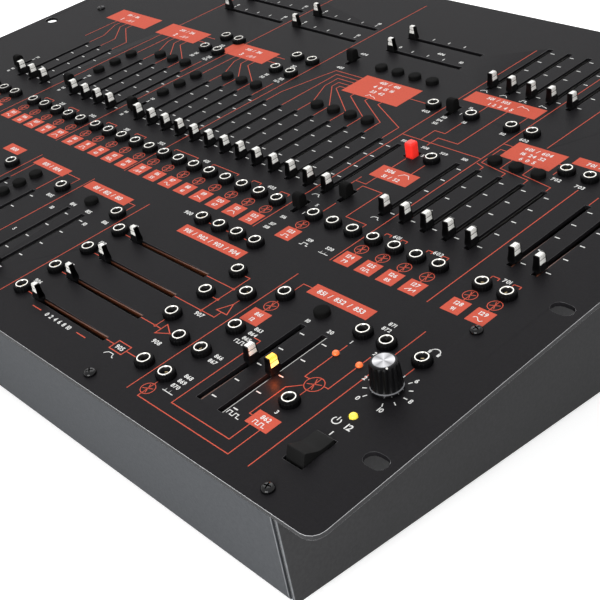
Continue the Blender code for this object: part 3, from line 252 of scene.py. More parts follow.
panel_paint = new_finish("panel_paint", (28, 27, 29), 0.50, patch=0.10, patches=900.0,
                         grain=2600.0, bump=0.25, Specular_IOR_Level=0.04)
COAT = {"patch": 0.08, "patches": 700.0, "grain": 2200.0, "bump": 0.22, "Specular_IOR_Level": 0.08}
case_paint = new_finish("case_paint", (74, 76, 79), 0.45, **COAT)
# The side plates' coat is the case's, painted darker as shade.
side_paint_shaded = new_finish("side_paint_shaded", (65, 65, 66), 0.45, **COAT)
# A paler copy of the panel's coat for its outer side faces: painted light.
panel_side_lit = new_finish("panel_side_lit", (36, 36, 38), 0.45, patches=700.0, grain=2200.0)
# The edges' finishes are paler than their sheets: a painted highlight where the edges catch the
# light.
HIGHLIGHT_GRAIN = {"patch": 0.2, "patches": 300.0, "grain": 2600.0}
panel_edge_highlight = new_finish("panel_edge_highlight", (150, 150, 153), 0.38, **HIGHLIGHT_GRAIN)
case_edge_highlight = new_finish("case_edge_highlight", (116, 118, 121), 0.38, **HIGHLIGHT_GRAIN)
SHEETS = {"front_panel": (panel_paint, panel_edge_highlight, panel_side_lit),
          "case_tray": (case_paint, case_edge_highlight),
          "side_plate_left": (side_paint_shaded, case_edge_highlight),
          "side_plate_right": (side_paint_shaded, case_edge_highlight)}
for name, finishes in SHEETS.items():
    dress(name, *finishes)
print("painted", len(SHEETS), "sheets")

# %% [markdown]
# The panel's outer rim catches the light, while its slots stay dark. So the rim's side faces take a
# paler paint, painted light, and the painted highlight on its rounded edges turns dark away from
# the rim, by the distance from the middle of the panel.

# %% Paint the panel's rim
panel = frame["nodes"]["front_panel"]
reach = [[corner[axis] for corner in panel.bound_box] for axis in range(3)]
middle = Vector([(max(values) + min(values)) / 2 for values in reach])
half_size = Vector([(max(values) - min(values)) / 2 for values in reach])
RIM = 0.004
RIM_FADE = 0.001
UPRIGHT = 0.5
PANEL_SIDE = 2
rim_faces = 0
# The rim's outer side faces take the paler side finish, painted light.
for face in panel.data.polygons:
    away = [abs(face.center[axis] - middle[axis]) - half_size[axis] for axis in range(2)]
    if max(away) > -RIM and abs(face.normal.dot(OUT)) < UPRIGHT:
        face.material_index = PANEL_SIDE
        rim_faces += 1
print("rim faces", rim_faces)

# %% Keep the painted highlight off the edges of the slots
place = add_node(panel_edge_highlight, "ShaderNodeTexCoord")
from_middle = add_node(panel_edge_highlight, "ShaderNodeVectorMath", operation="SUBTRACT")
from_middle.inputs[1].default_value = middle
both_ways = add_node(panel_edge_highlight, "ShaderNodeVectorMath", operation="ABSOLUTE")
to_rim = add_node(panel_edge_highlight, "ShaderNodeVectorMath", operation="SUBTRACT")
to_rim.inputs[1].default_value = half_size
axes = add_node(panel_edge_highlight, "ShaderNodeSeparateXYZ")
nearer = add_node(panel_edge_highlight, "ShaderNodeMath", operation="MAXIMUM")
shade = add_node(panel_edge_highlight, "ShaderNodeMapRange", From_Min=-RIM - RIM_FADE, From_Max=-RIM)
tint = add_node(panel_edge_highlight, "ShaderNodeValToRGB")
# Dark at the slots and bright on the outer rim: a painted highlight along the panel's edge.
set_ramp(tint, (46, 46, 48), (205, 205, 207))
join(panel_edge_highlight, place, "Object", from_middle, 0)
join(panel_edge_highlight, from_middle, "Vector", both_ways, 0)
join(panel_edge_highlight, both_ways, "Vector", to_rim, 0)
join(panel_edge_highlight, to_rim, "Vector", axes, "Vector")
join(panel_edge_highlight, axes, "X", nearer, 0)
join(panel_edge_highlight, axes, "Y", nearer, 1)
join(panel_edge_highlight, nearer, "Value", shade, "Value")
join(panel_edge_highlight, shade, "Result", tint, "Fac")
join(panel_edge_highlight, tint, "Color", principled(panel_edge_highlight), "Base Color")
print("pale rim", round(RIM / MM, 1), "mm wide")

# %% [markdown]
# Sheet metal never ends in a knife edge: the coat rounds it. A weld of the doubled corners and a
# small bevel on each sharp edge give that round, and the bevel's faces take the second, paler
# finish of the sheet, a painted highlight where the edges catch the light.

# %% Round the edges of the sheets
EDGE_ROUND = 0.00035
SAME_CORNER = 0.00002
for name in SHEETS:
    sheet = frame["nodes"][name]
    sheet.modifiers.new("join_corners", "WELD").merge_threshold = SAME_CORNER
    edge = sheet.modifiers.new("paint_edge", "BEVEL")
    edge.width = EDGE_ROUND
    edge.segments = 2
    edge.limit_method = "ANGLE"
    edge.angle_limit = math.radians(40)
    # The bevel's faces take the paler finish, a painted highlight.
    edge.material = 1
print("rounded by", EDGE_ROUND / MM, "mm")

# %% [markdown]
# The small parts use black moulded plastic, rubber, nickelled brass, bare brass for contacts, and
# two inks. The lit pieces are amber and orange plastic with a lamp inside, so they give light of
# their own. On the lit cap that light is whiter at the top, nearer to its lamp.

# %% Plastics, metals and inks
black_plastic = new_finish("black_plastic", (12, 12, 13), 0.34, grain=1800.0, bump=0.08,
                           Specular_IOR_Level=0.14)
nut_black = new_finish("nut_black", (7, 7, 8), 0.36, grain=1500.0, bump=0.06,
                       Specular_IOR_Level=0.04)
soft_rubber = new_finish("soft_rubber", (18, 18, 18), 0.62, grain=2400.0, bump=0.2, uneven=0.08,
                         Specular_IOR_Level=0.1)
dark_rubber = new_finish("dark_rubber", (15, 15, 15), 0.72, grain=2400.0, bump=0.2, uneven=0.08,
                         Specular_IOR_Level=0.04)
white_inlay = new_finish("white_inlay", (244, 243, 238), 0.34, patch=0.04, grain=1600.0,
                         bump=0.05)
nickel = new_finish("nickel", (205, 203, 197), 0.24, metal=1.0, patch=0.06, grain=1400.0,
                    bump=0.05)
dark_chrome = new_finish("dark_chrome", (118, 118, 121), 0.14, metal=1.0, uneven=0.03, bump=0.02)
brass = new_finish("brass", (196, 178, 140), 0.30, metal=1.0, grain=1200.0, bump=0.06)
# Near-black finish for the socket bore's lining, painted shade.
bore_shade = new_finish("bore_shade", (12, 11, 11), 0.60, grain=900.0)
steel_rail = new_finish("steel_rail", (132, 131, 129), 0.34, metal=1.0, grain=900.0, bump=0.1)
track_board = new_finish("track_board", (88, 44, 20), 0.50, patch=0.2, patches=300.0,
                         grain=1500.0)
# The red plastic glows faintly red of its own, painted light, as no lamp sits in the button.
red_plastic = new_finish("red_plastic", (252, 46, 38), 0.38, patch=0.05, grain=1600.0, bump=0.06,
                         Specular_IOR_Level=0.3, Emission_Strength=0.25,
                         Emission_Color=(*linear(255, 60, 48), 1.0))
white_ink = new_finish("white_ink", (226, 226, 224), 0.6, patch=0.06, patches=1500.0,
                       grain=3000.0, Specular_IOR_Level=0.1)
orange_ink = new_finish("orange_ink", (203, 89, 70), 0.6, patch=0.06, patches=1200.0,
                        grain=3000.0, Specular_IOR_Level=0.05)
screw_black = new_finish("screw_black", (6, 6, 7), 0.12, grain=1400.0, bump=0.05, uneven=0.03,
                         Specular_IOR_Level=0.3)
board_green = new_finish("board_green", (18, 62, 40), 0.35, patch=0.2, patches=200.0,
                         grain=1200.0)
for name in ("voice_board", "power_supply"):
    dress(name, board_green)
print(len(bpy.data.materials), "materials so far")

# %% Lit plastics
amber_lit = new_finish("amber_lit", (240, 170, 30), 0.35, patch=0.05, Emission_Strength=1.3)
GLOW_FROM, GLOW_TO = 4.5 * MM, 8.5 * MM
place = add_node(amber_lit, "ShaderNodeTexCoord")
axes = add_node(amber_lit, "ShaderNodeSeparateXYZ")
shade = add_node(amber_lit, "ShaderNodeMapRange", From_Min=GLOW_FROM, From_Max=GLOW_TO)
tint = add_node(amber_lit, "ShaderNodeValToRGB")
set_ramp(tint, (255, 240, 150), (255, 176, 0))
join(amber_lit, place, "Object", axes, "Vector")
join(amber_lit, axes, "Z", shade, "Value")
join(amber_lit, shade, "Result", tint, "Fac")
join(amber_lit, tint, "Color", principled(amber_lit), "Emission Color")
lens_lit = new_finish("lens_lit", (230, 200, 60), 0.30, patch=0.05, Emission_Strength=0.6,
                      Emission_Color=(*linear(250, 230, 90), 1.0))
orange_lens = new_finish("orange_lens", (250, 112, 58), 0.3, patch=0.05, Emission_Strength=0.35,
                         Emission_Color=(*linear(255, 120, 50), 1.0))
print(len(bpy.data.materials), "materials")

# %% [markdown]
# ## Shapes by lathe and by saw
#
# Nearly every small part here is either turned (sockets, plugs, knob, feet) or cut from a long
# bar with one outline (fader caps, rocker). So two helpers do most of the work: one spins a
# profile of radius and height, the other draws a side outline out along u. Flutes and knurls are
# a ripple of the radius while the profile spins. A box with a pocket is a block whose top face is
# inset and pushed down.

# %% Turned shapes
def paint_faces(faces, finish):
    """Give faces one of the mesh's finishes, by number."""
    for face in faces:
        face.material_index = finish


def turn(mesh, profile, sides=32, finish=0, ripples=0, place=(0.0, 0.0, 0.0)):
    """Spin (radius, height, ripple depth) points; the first and last lie on the axis."""
    rings = []
    for radius, height, *depth in profile:
        ring = []
        for side in range(sides if radius else 1):
            angle = 2 * math.pi * side / sides
            dip = depth[0] * (1 - math.cos(ripples * angle)) / 2 if depth else 0.0
            reach = radius - dip
            ring.append(mesh.verts.new((reach * math.cos(angle), reach * math.sin(angle), height)))
        rings.append(ring)
    faces = []
    for low, high in zip(rings, rings[1:]):
        for side in range(sides):
            ahead = (side + 1) % sides
            corners = [low[side % len(low)], low[ahead % len(low)],
                       high[ahead % len(high)], high[side % len(high)]]
            corners = list(dict.fromkeys(corners))
            if len(corners) > 2:
                faces.append(mesh.faces.new(corners))
    paint_faces(faces, finish)
    made = [vertex for ring in rings for vertex in ring]
    bmesh.ops.translate(mesh, vec=place, verts=made)
    return faces


# %% Drawn shapes and blocks
def draw_out(mesh, outline, low, high, finish=0):
    """Flat outline of (v, w) corners, drawn out along u from low to high."""
    near = [mesh.verts.new((low, v, w)) for v, w in outline]
    far = [mesh.verts.new((high, v, w)) for v, w in outline]
    faces = [mesh.faces.new(near), mesh.faces.new(list(reversed(far)))]
    for index in range(len(outline)):
        ahead = (index + 1) % len(outline)
        faces.append(mesh.faces.new((near[index], far[index], far[ahead], near[ahead])))
    paint_faces(faces, finish)
    return faces


def block(mesh, low, high, finish=0):
    """Box between two corners."""
    outline = [(low[1], low[2]), (high[1], low[2]), (high[1], high[2]), (low[1], high[2])]
    return draw_out(mesh, outline, low[0], high[0], finish)


# %% Rounded edges and pockets
SHARP = math.radians(25)


def soften(mesh, faces, width, segments=2):
    """Round the sharp edges of some faces."""
    bmesh.ops.recalc_face_normals(mesh, faces=faces)
    edges = {edge for face in faces for edge in face.edges
             if len(edge.link_faces) == 2 and edge.calc_face_angle(0.0) > SHARP}
    bmesh.ops.bevel(mesh, geom=list(edges), offset=width, segments=segments, profile=0.5,
                    affect="EDGES", clamp_overlap=True)


def sink_top(mesh, faces, wall, depth):
    """Push a pocket down into a block's top; returns the pocket's floor."""
    bmesh.ops.recalc_face_normals(mesh, faces=faces)
    lid = max(faces, key=lambda face: face.calc_center_median().z)
    bmesh.ops.inset_region(mesh, faces=[lid], thickness=wall, use_even_offset=True)
    floor = bmesh.ops.extrude_discrete_faces(mesh, faces=[lid])["faces"][0]
    bmesh.ops.translate(mesh, vec=(0.0, 0.0, -depth), verts=floor.verts)
    return floor


print("edges over", round(math.degrees(SHARP)), "degrees get rounded")

# %% [markdown]
# ## Patch sockets
#
# A 3.5 mm socket is a threaded bush pushed up through the panel, held by a round knurled nut. The
# bush's polished end is the bright ring that the eye sees first. Inside, a dark lining covers the
# bore and the inner edge of the ring, painted shade down the hole, with a brass spring inside. One
# mesh serves all of them. The nut is turned with a ripple in its rim, which gives the knurl real
# edges, so it stays sharp in a close view.

# %% The socket's mesh
jack = bmesh.new()
KNURLS = 24
NUT = [(0.0, -9.0), (2.9, -9.0), (2.9, 0.0), (4.05, 0.0, 0.0), (4.1, 0.25, 0.22),
       (4.1, 1.75, 0.22), (3.85, 2.15, 0.12), (3.35, 2.45), (2.85, 2.5), (2.85, 2.2), (2.0, 2.2),
       (2.0, -8.6), (0.0, -8.6)]
BUSH = [(0.0, -8.5), (2.04, -8.5), (2.04, 1.9), (2.8, 1.9), (2.8, 2.75), (2.7, 2.88),
        (2.36, 2.88), (2.26, 2.7), (2.0, 2.0), (1.96, -8.0), (0.0, -8.0)]
# Dark lining of the bore and the ring's inner edge: painted shade down the hole.
LINER = [(0.0, -7.9), (1.93, -7.9), (1.96, 1.98), (2.22, 2.66), (2.12, 2.66), (1.88, 1.95),
         (1.86, -7.7), (0.0, -7.7)]
SPRING = [(1.4, -7.6), (1.75, -7.6), (1.8, -0.4), (1.0, 1.3), (0.8, 1.1), (1.45, -0.6)]
CONTACT = [(-1.8, -7.6), (-1.5, -7.6), (-1.5, 1.5), (-1.8, 1.5)]
turn(jack, NUT, 4 * KNURLS, 0, ripples=KNURLS)
turn(jack, BUSH, 40, 1)
turn(jack, LINER, 40, 2)
draw_out(jack, SPRING, -0.6, 0.6, 3)
draw_out(jack, CONTACT, -0.5, 0.5, 1)
jack_mesh = finish_mesh("jack", jack, nut_black, nickel, bore_shade, brass)
print("socket faces", len(jack_mesh.polygons))

# %% [markdown]
# The sockets stand in rows at the fader pitch: a long patch row right across the panel, four
# linked ones below it, and groups round the modules. Their columns and rows are counted on the
# panel's grid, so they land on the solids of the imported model.

# %% Set the sockets down
def run_of(first, count):
    """Columns that are one pitch apart."""
    return [first + step * PITCH for step in range(count)]


A, B, C, MIXER = column(3.06), column(7.72), column(12.9), column(34.72)
FILTER = C + 5 * PITCH
ENVELOPE = FILTER + 8 * PITCH
AMPLIFIER = ENVELOPE + 4 * PITCH
HOLD, NOISE, RING = column(31.37), column(17.86), column(13.27)
PROCESSOR, SLIDES = column(21.29), column(24.23)
MAIN, TOP, LOW, PATCH = row(14.66), row(24.55), row(4.07), row(11.1)
OSCILLATOR_B_TOP, OSCILLATOR_C_TOP = B + 2 * PITCH, C + 2 * PITCH
FILTER_TOP = FILTER + 3.45 * PITCH
SLIDE_ROWS = [row(1.94 + 1.453 * step) for step in range(4)]
TOP_SLIDE_ROWS = [row(23.39 + 1.48 * step) for step in range(2)]
LOW_PATCH, OUTPUT_ROW = row(7.05), row(7.01)
MULTIPLE = run_of(column(23.41), 4)
RING_OUT, NOISE_OUT = column(16.27), column(20.15)
STEP_LIGHTS = run_of(column(33.29), 2)
COMMON = column(33.8)
NUT_TURN = 37.0
SOCKETS = {
    "patch": [(u, PATCH) for u in run_of(A, 4) + run_of(B, 5) + run_of(C, 13)
              + run_of(ENVELOPE + PITCH, 7) + run_of(MIXER, 2)],
    "multiple": [(u, row(8.64)) for u in MULTIPLE],
    "processor": [(PROCESSOR, v) for v in SLIDE_ROWS]
                 + [(column(27.29), row(4.11 + 1.47 * step)) for step in range(3)]
                 + [(column(28.58), v) for v in (*SLIDE_ROWS[:2], row(6.31))],
    "hold": [(column(29.69), v) for v in (*SLIDE_ROWS[:3], LOW_PATCH)]
            + [(u, LOW_PATCH) for u in STEP_LIGHTS] + [(COMMON, SLIDE_ROWS[1])],
    "phones": [(KNOB[0], LOW_PATCH)],
    "output": [(u, OUTPUT_ROW) for u in (column(12.34), RING_OUT, NOISE_OUT)],
    "oscillator": [(column(steps), row(19.28 + 1.39 * step))
                   for steps in (10.78, 11.74, 15.95, 16.96) for step in range(2)],
    "envelope": [(ENVELOPE + 2 * PITCH, row(16.47)), (column(24.92), row(20.02)),
                 (column(26.93), row(20.02))]
                + [(u, row(20.02)) for u in run_of(column(28.95), 2)],
    "reverb": [(u, row(18.34)) for u in run_of(column(32.76), 2)],
}
for group, places in SOCKETS.items():
    for number, (u, v) in enumerate(places, 1):
        place = on_panel(u, v, 0.0, NUT_TURN * number)
        put(f"jack_{group}_{number}", jack_mesh, place)
print("sockets", sum(len(places) for places in SOCKETS.values()))

# %% [markdown]
# Small rubber plugs close the holes over the trimmers. Their tops are slightly domed and their
# rims are rolled, which is enough to tell rubber from turned plastic.

# %% Rubber plugs
plug = bmesh.new()
turn(plug, [(0.0, -0.4), (3.4, -0.4), (3.46, 0.2), (3.44, 1.5), (3.36, 2.0), (3.05, 2.26),
            (2.4, 2.38), (1.2, 2.46), (0.0, 2.48)], 40)
plug_mesh = finish_mesh("plug", plug, dark_rubber)
PLUGS = [(u, row(steps)) for u in run_of(column(20.4), 4) for steps in (17.62, 21.68)]
PLUGS += [(u + 1.5 * PITCH, row(17.62)) for u in run_of(B, 3) + run_of(C, 3)]
PLUGS += [(u, row(17.62)) for u in run_of(column(30.04), 3)]
PLUGS += [(u, row(14.92 + step)) for u in (B, C) for step in range(3)]
PLUGS += [(column(31.45), LOW_PATCH), (column(18.37), OUTPUT_ROW)]
PLUGS += [(column(14.27), row(5.36 + 0.82 * step)) for step in range(3)]
for number, (u, v) in enumerate(PLUGS, 1):
    put(f"trimmer_plug_{number}", plug_mesh, on_panel(u, v))
print("plugs", len(PLUGS))

# %% [markdown]
# ## Faders
#
# A fader's cap is a narrow saddle: a black core with a white strip in each of its two broad faces,
# between two black cheeks that stand a little proud. It is waisted so that a fingertip finds the
# middle, and below it a flat lever goes down through the slot. The side outline is the whole
# character of the part, so it is drawn out once each for the core, the strips and each cheek. Then
# every corner is turned a quarter, which sets the broad faces beside the slot, and the length is
# narrowed with the height.

# %% The fader's cap
CAP_END = 2.4
STRIP_END = 1.9
CHEEK_WIDTH = 0.5
PROUD = 0.16
CAP_SIDE = [(1.9, 0.5), (1.8, 1.3), (1.65, 2.4), (1.45, 3.6), (1.32, 4.8), (1.26, 5.9), (1.32, 6.9),
            (1.28, 7.5), (1.0, 7.8)]
STRIP_SIDE = [(1.53, 3.8), (1.4, 4.8), (1.34, 5.7), (1.27, 5.82), (1.34, 5.94), (1.4, 6.9),
              (1.36, 7.55), (1.05, 7.87)]
CHEEK_SIDE = [(v + PROUD, w + PROUD) for v, w in CAP_SIDE[1:]]


def both_sides(half):
    """Whole outline from one half, mirrored."""
    return half + [(-v, w) for v, w in reversed(half)]


def fader_cap(name, strip, slim=1.0, foot=1.12, taper=0.025):
    """Cap with its lever; the strips may be white or lit, and the ends taper with the height."""
    mesh = bmesh.new()
    soften(mesh, draw_out(mesh, both_sides(CAP_SIDE), -CAP_END, CAP_END, 0), 0.14)
    soften(mesh, draw_out(mesh, both_sides(STRIP_SIDE), -STRIP_END, STRIP_END, 1), 0.05)
    for left in (-CAP_END, STRIP_END):
        soften(mesh, draw_out(mesh, both_sides(CHEEK_SIDE), left, left + CHEEK_WIDTH, 0), 0.12)
    for corner in mesh.verts:
        across, along, height = corner.co
        corner.co = (-along * slim, across * (foot - taper * height), height)
    soften(mesh, block(mesh, (-0.9, -2.0, -8.0), (0.9, 2.0, 0.7), 2), 0.1)
    return finish_mesh(name, mesh, black_plastic, strip, black_plastic)


cap_mesh = fader_cap("fader_cap", white_inlay)
lit_mesh = fader_cap("fader_cap_lit", amber_lit)
slim_mesh = fader_cap("fader_cap_slim", white_inlay, 0.86, 1.14, 0.055)
print("cap faces", len(cap_mesh.polygons))

# %% [markdown]
# Each moving fader is set on its joint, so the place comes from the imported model. The sideways
# ones are a slimmer cap turned a quarter. The rest of the faders stay still, and ride on the case.
# The lit cap has a tiny lamp as its child, which throws amber light on the panel beside it.

# %% Set the moving and the still faders down
def at_joint(body, turn_by=0.0):
    """Place of a moving piece: its joint's point, in the panel's directions."""
    place = PANEL.copy()
    place.translation = Vector(JOINTS[body]["pos_m"])
    return place @ Matrix.Rotation(math.radians(turn_by), 4, "Z")


LIT_FADER = "fader_hold_2"
QUARTER = 90.0
moving = [body for body in JOINTS if body.startswith("fader")]
for body in moving:
    sideways = QUARTER if "processor" in body else 0.0
    data = lit_mesh if body == LIT_FADER else slim_mesh if sideways else cap_mesh
    cap = put(f"{body}_cap", data, at_joint(body, sideways), body, (body,))
    if body == LIT_FADER:
        lit_cap = cap
HALF_TRAVEL = 22.5
NEAR_SLOTS = [*run_of(NOISE, 2), RING, RING + 2 * PITCH, RING - 2 * PITCH]
STILL = [(u, MAIN, 0.0) for u in run_of(A + PITCH, 3)]
STILL += [(u, LOW, 0.0) for u in NEAR_SLOTS]
STILL += [(u, TOP, 0.0) for u in run_of(MIXER, 2)]
STILL += [(u, v, QUARTER) for v in TOP_SLIDE_ROWS
          for u in (FILTER_TOP, OSCILLATOR_C_TOP, OSCILLATOR_B_TOP)]
for number, (u, v, sideways) in enumerate(STILL, 1):
    shift = (-HALF_TRAVEL, 0.0) if sideways else (0.0, -HALF_TRAVEL)
    place = on_panel(u + shift[0], v + shift[1], 0.0, sideways)
    put(f"still_fader_{number}_cap", slim_mesh if sideways else cap_mesh, place)
print("faders", len(moving), "move,", len(STILL), "stay")

# %% The lamp in the lit cap
glow = bpy.data.lights.new("cap_glow", "POINT")
glow.energy = 0.0026
glow.color = (1.0, 0.16, 0.02)
glow.shadow_soft_size = 1.5 * MM
glow_lamp = new_object("cap_glow", glow)
glow_lamp.parent = lit_cap
glow_lamp.location = Vector((4.6, -4.4, 1.9)) * MM
print("lamp of", glow.energy, "watts in", lit_cap.name)

# %% [markdown]
# ## Under the slots
#
# Looking down through a slot one sees the fader's own housing: a steel channel with a brown track
# board at the bottom. Its sheet is thin, so each housing is a block whose whole top is pushed
# down. The middle of a slot is half a range away from its joint's point.

# %% The slots' middles
def slot_middle(body, sideways=False):
    """Middle of a moving piece's slot on the panel, in (u, v)."""
    spot = PANEL.inverted() @ Vector(JOINTS[body]["pos_m"]) / MM
    middle = sum(JOINTS[body]["range_m"]) / 2 / MM
    return (spot.x + middle, spot.y) if sideways else (spot.x, spot.y + middle)


SWITCHES = [body for body in JOINTS if body.startswith("switch")]
fader_slots = [(u, v, bool(side)) for u, v, side in STILL]
for body in moving:
    sideways = "processor" in body
    fader_slots.append((*slot_middle(body, sideways), sideways))
print("slots", len(fader_slots), "for faders,", len(SWITCHES), "for switches")

# %% Fader and switch housings
UNDERSIDE = -2.3
BODY_FLOOR = -11.1
FADER_SLOT = 53.3
SWITCH_SLOT = 11.4
HALF_BODY = 4.3
BODY_END = 2.8
CHANNEL = 7.2
NO_WALL = 0.0


def housing(mesh, u, v, half_u, half_v):
    """Housing with an open channel, its middle on (u, v)."""
    faces = block(mesh, (u - half_u, v - half_v, BODY_FLOOR), (u + half_u, v + half_v, UNDERSIDE))
    sink_top(mesh, faces, NO_WALL, CHANNEL).material_index = 1


housings = bmesh.new()
for u, v, sideways in fader_slots:
    half = FADER_SLOT / 2 + BODY_END
    size = (half, HALF_BODY) if sideways else (HALF_BODY, half)
    housing(housings, u, v, *size)
for body in SWITCHES:
    housing(housings, *slot_middle(body), HALF_BODY, SWITCH_SLOT / 2 + BODY_END)
put("fader_housings", finish_mesh("fader_housings", housings, steel_rail, track_board), PANEL)
print("housings", len(fader_slots) + len(SWITCHES))

# %% [markdown]
# One long edge of each housing shows right under the panel's cut. On most it is a steel lip deep in
# the slot, in the lit cap's slot a bright rail near the top, and on the sideways faders and a few
# upright ones the brown edge of the track board, which drops away towards one end. The far
# sideways slots are black. A thin block for each is enough, since only its top can be seen.

# %% Lips in the slots
NEAR = 1.0
FAR_SLOTS = 120.0
LIP_FOOT = -2.25
HALF_LIP = FADER_SLOT / 2 - 0.3
BROWN_OFF, BROWN_HALF, BROWN_TOP, BROWN_DROP = 1.18, 0.28, -0.08, 1.2
STEEL_LIP = (-1.45, -0.95, -1.3)
BRIGHT_RAIL = (0.9, 1.4, -0.3)


def brown_lip(mesh, u, v, sideways):
    """Edge of the track board beside a slot's middle, lower at one end."""
    spot = (u, v + BROWN_OFF) if sideways else (u + BROWN_OFF, v)
    half = (HALF_LIP, BROWN_HALF) if sideways else (BROWN_HALF, HALF_LIP)
    faces = block(mesh, (spot[0] - half[0], spot[1] - half[1], LIP_FOOT),
                  (spot[0] + half[0], spot[1] + half[1], BROWN_TOP), 1)
    for corner in {corner for face in faces for corner in face.verts}:
        low_end = corner.co.x < u if sideways else corner.co.y > v
        if low_end and corner.co.z > LIP_FOOT / 2:
            corner.co.z -= BROWN_DROP


lips = bmesh.new()
for u, v, sideways in fader_slots:
    low_row = abs(v - LOW) < NEAR
    lit_slot = low_row and u > HOLD + NEAR
    first_of_pair = low_row and min(abs(u - RING), abs(u - HOLD)) < NEAR
    if sideways and v > FAR_SLOTS:
        continue
    if lit_slot or not (sideways or first_of_pair or u > MIXER - NEAR):
        left, right, lip_top = BRIGHT_RAIL if lit_slot else STEEL_LIP
        block(lips, (u + left, v - HALF_LIP, LIP_FOOT), (u + right, v + HALF_LIP, lip_top))
    else:
        brown_lip(lips, u, v, sideways)
put("slot_lips", finish_mesh("slot_lips", lips, steel_rail, track_board), PANEL)
print("lip faces", len(bpy.data.meshes["slot_lips"].polygons))

# %% [markdown]
# All housings and sockets stand on one large control board, which closes the view into the case.

# %% The control board
BOARD_CORNERS = (24.0, 16.5, -12.7), (458.6, 336.0, -11.15)
sheet = bmesh.new()
soften(sheet, block(sheet, *BOARD_CORNERS), 0.2)
put("control_board_sheet", finish_mesh("control_board_sheet", sheet, board_green), PANEL,
    stands_for=("control_board",))
print("board from", BOARD_CORNERS[0], "to", BOARD_CORNERS[1])

# %% [markdown]
# ## Switches and the push button
#
# The slide switches have a tall black rubbery tab with a rolled top, and the manual push button
# is a glossy red block with generous corners. The tab is drawn from a side outline and the button
# starts as a block, then every sharp edge is rounded, because a moulded part has none.

# %% Switch tabs and the red button
TAB_SIDE = [(2.68, 0.5), (2.6, 2.0), (2.42, 4.6), (2.22, 5.8), (1.7, 6.6), (0.9, 6.96)]
TAB_END = 2.38
tab = bmesh.new()
soften(tab, draw_out(tab, both_sides(TAB_SIDE), -TAB_END, TAB_END), 0.45, 3)
soften(tab, block(tab, (-0.9, -1.75, -8.0), (0.9, 1.75, 0.7)), 0.1)
tab_mesh = finish_mesh("switch_tab", tab, dark_rubber)
for body in SWITCHES:
    put(f"{body}_tab", tab_mesh, at_joint(body), body, (body,))
button = bmesh.new()
soften(button, block(button, (-2.45, -2.6, -4.0), (2.45, 2.6, 7.0)), 1.25, 5)
soften(button, block(button, (-1.4, -1.4, -6.5), (1.4, 1.4, -3.5)), 0.1)
put("push_button_cap", finish_mesh("push_button_cap", button, red_plastic), at_joint("push_button"),
    "push_button", ("push_button",))
print("switches", len(SWITCHES))

# %% [markdown]
# ## The volume knob
#
# The knob is a fluted black cap over a darkly chromed skirt, with a disc of spun aluminium let into
# its top and a white dot for a pointer. Spinning the metal leaves fine circles, which make the
# light fan out from the middle. The shader's radial grain gives part of that fan, and the rest is
# painted into the colour as light and dark sectors of a radial gradient, a painted reflection that
# holds at any angle. Rings in the bump give the circles.

# %% Spun aluminium
spun_metal = new_finish("spun_metal", (222, 223, 226), 0.34, metal=1.0, patch=0.04, grain=1200.0,
                        bump=0.02)
place = add_node(spun_metal, "ShaderNodeTexCoord")
fan = add_node(spun_metal, "ShaderNodeTexGradient", gradient_type="RADIAL")
painted_fan_ramp = add_node(spun_metal, "ShaderNodeValToRGB")
# Light and dark sectors round the disc: a painted reflection of the fan.
PAINTED_FAN = (108, 180, 114, 162, 104, 184, 116, 168, 108)
while len(painted_fan_ramp.color_ramp.elements) < len(PAINTED_FAN):
    painted_fan_ramp.color_ramp.elements.new(0.5)
for index, (stop, value) in enumerate(zip(painted_fan_ramp.color_ramp.elements, PAINTED_FAN)):
    stop.position = index / (len(PAINTED_FAN) - 1)
    stop.color = (*linear(value, value, value + 2), 1.0)
join(spun_metal, place, "Object", fan, "Vector")
join(spun_metal, fan, factor(fan), painted_fan_ramp, "Fac")
join(spun_metal, painted_fan_ramp, "Color", principled(spun_metal), "Base Color")
circles = add_node(spun_metal, "ShaderNodeTexWave", wave_type="RINGS", rings_direction="Z",
                   Scale=2600.0, Distortion=1.0, Detail=1.0)
relief = add_node(spun_metal, "ShaderNodeBump", Strength=0.12, Distance=0.00005)
join(spun_metal, place, "Object", circles, "Vector")
join(spun_metal, circles, factor(circles), relief, "Height")
join(spun_metal, relief, "Normal", principled(spun_metal), "Normal")
tangent = add_node(spun_metal, "ShaderNodeTangent", direction_type="RADIAL", axis="Z")
principled(spun_metal).inputs["Anisotropic"].default_value = 0.4
join(spun_metal, tangent, "Tangent", principled(spun_metal), "Tangent")
print("fan of", len(PAINTED_FAN), "tones")

# %% The knob
POINTER = math.radians(-33.0)
POINTER_REACH = 4.6
POINTER_LOW = -0.04
FLUTES = 16
SHAFT = [(0.0, -7.5), (3.0, -7.5), (3.0, 0.8), (5.9, 0.8), (6.05, 1.0), (6.05, 2.3), (0.0, 2.3)]
SKIRT = [(0.0, 0.75), (6.0, 0.75), (6.3, 0.95), (6.4, 1.6), (6.3, 2.35), (5.9, 2.75), (0.0, 2.75)]
GRIP = [(0.0, 2.5), (5.9, 2.5), (6.1, 2.8, 0.1), (6.05, 3.6, 0.6), (5.8, 7.6, 0.6),
        (5.45, 11.6, 0.55), (5.3, 12.3, 0.2), (5.1, 12.8), (4.75, 13.1), (4.3, 13.2), (0.0, 13.2)]
DISC = [(0.0, 12.9), (4.1, 12.9), (4.1, 13.25), (3.98, 13.35), (0.0, 13.35)]
DOT = [(0.0, 12.6), (0.42, 12.6), (0.42, 13.26), (0.3, 13.33), (0.0, 13.35)]
knob = bmesh.new()
turn(knob, SHAFT, 60, 0)
turn(knob, SKIRT, 72, 1)
turn(knob, GRIP, 10 * FLUTES, 0, ripples=FLUTES)
turn(knob, DISC, 64, 2)
turn(knob, DOT, 16, 3, place=(POINTER_REACH * math.cos(POINTER), POINTER_REACH * math.sin(POINTER),
                              POINTER_LOW))
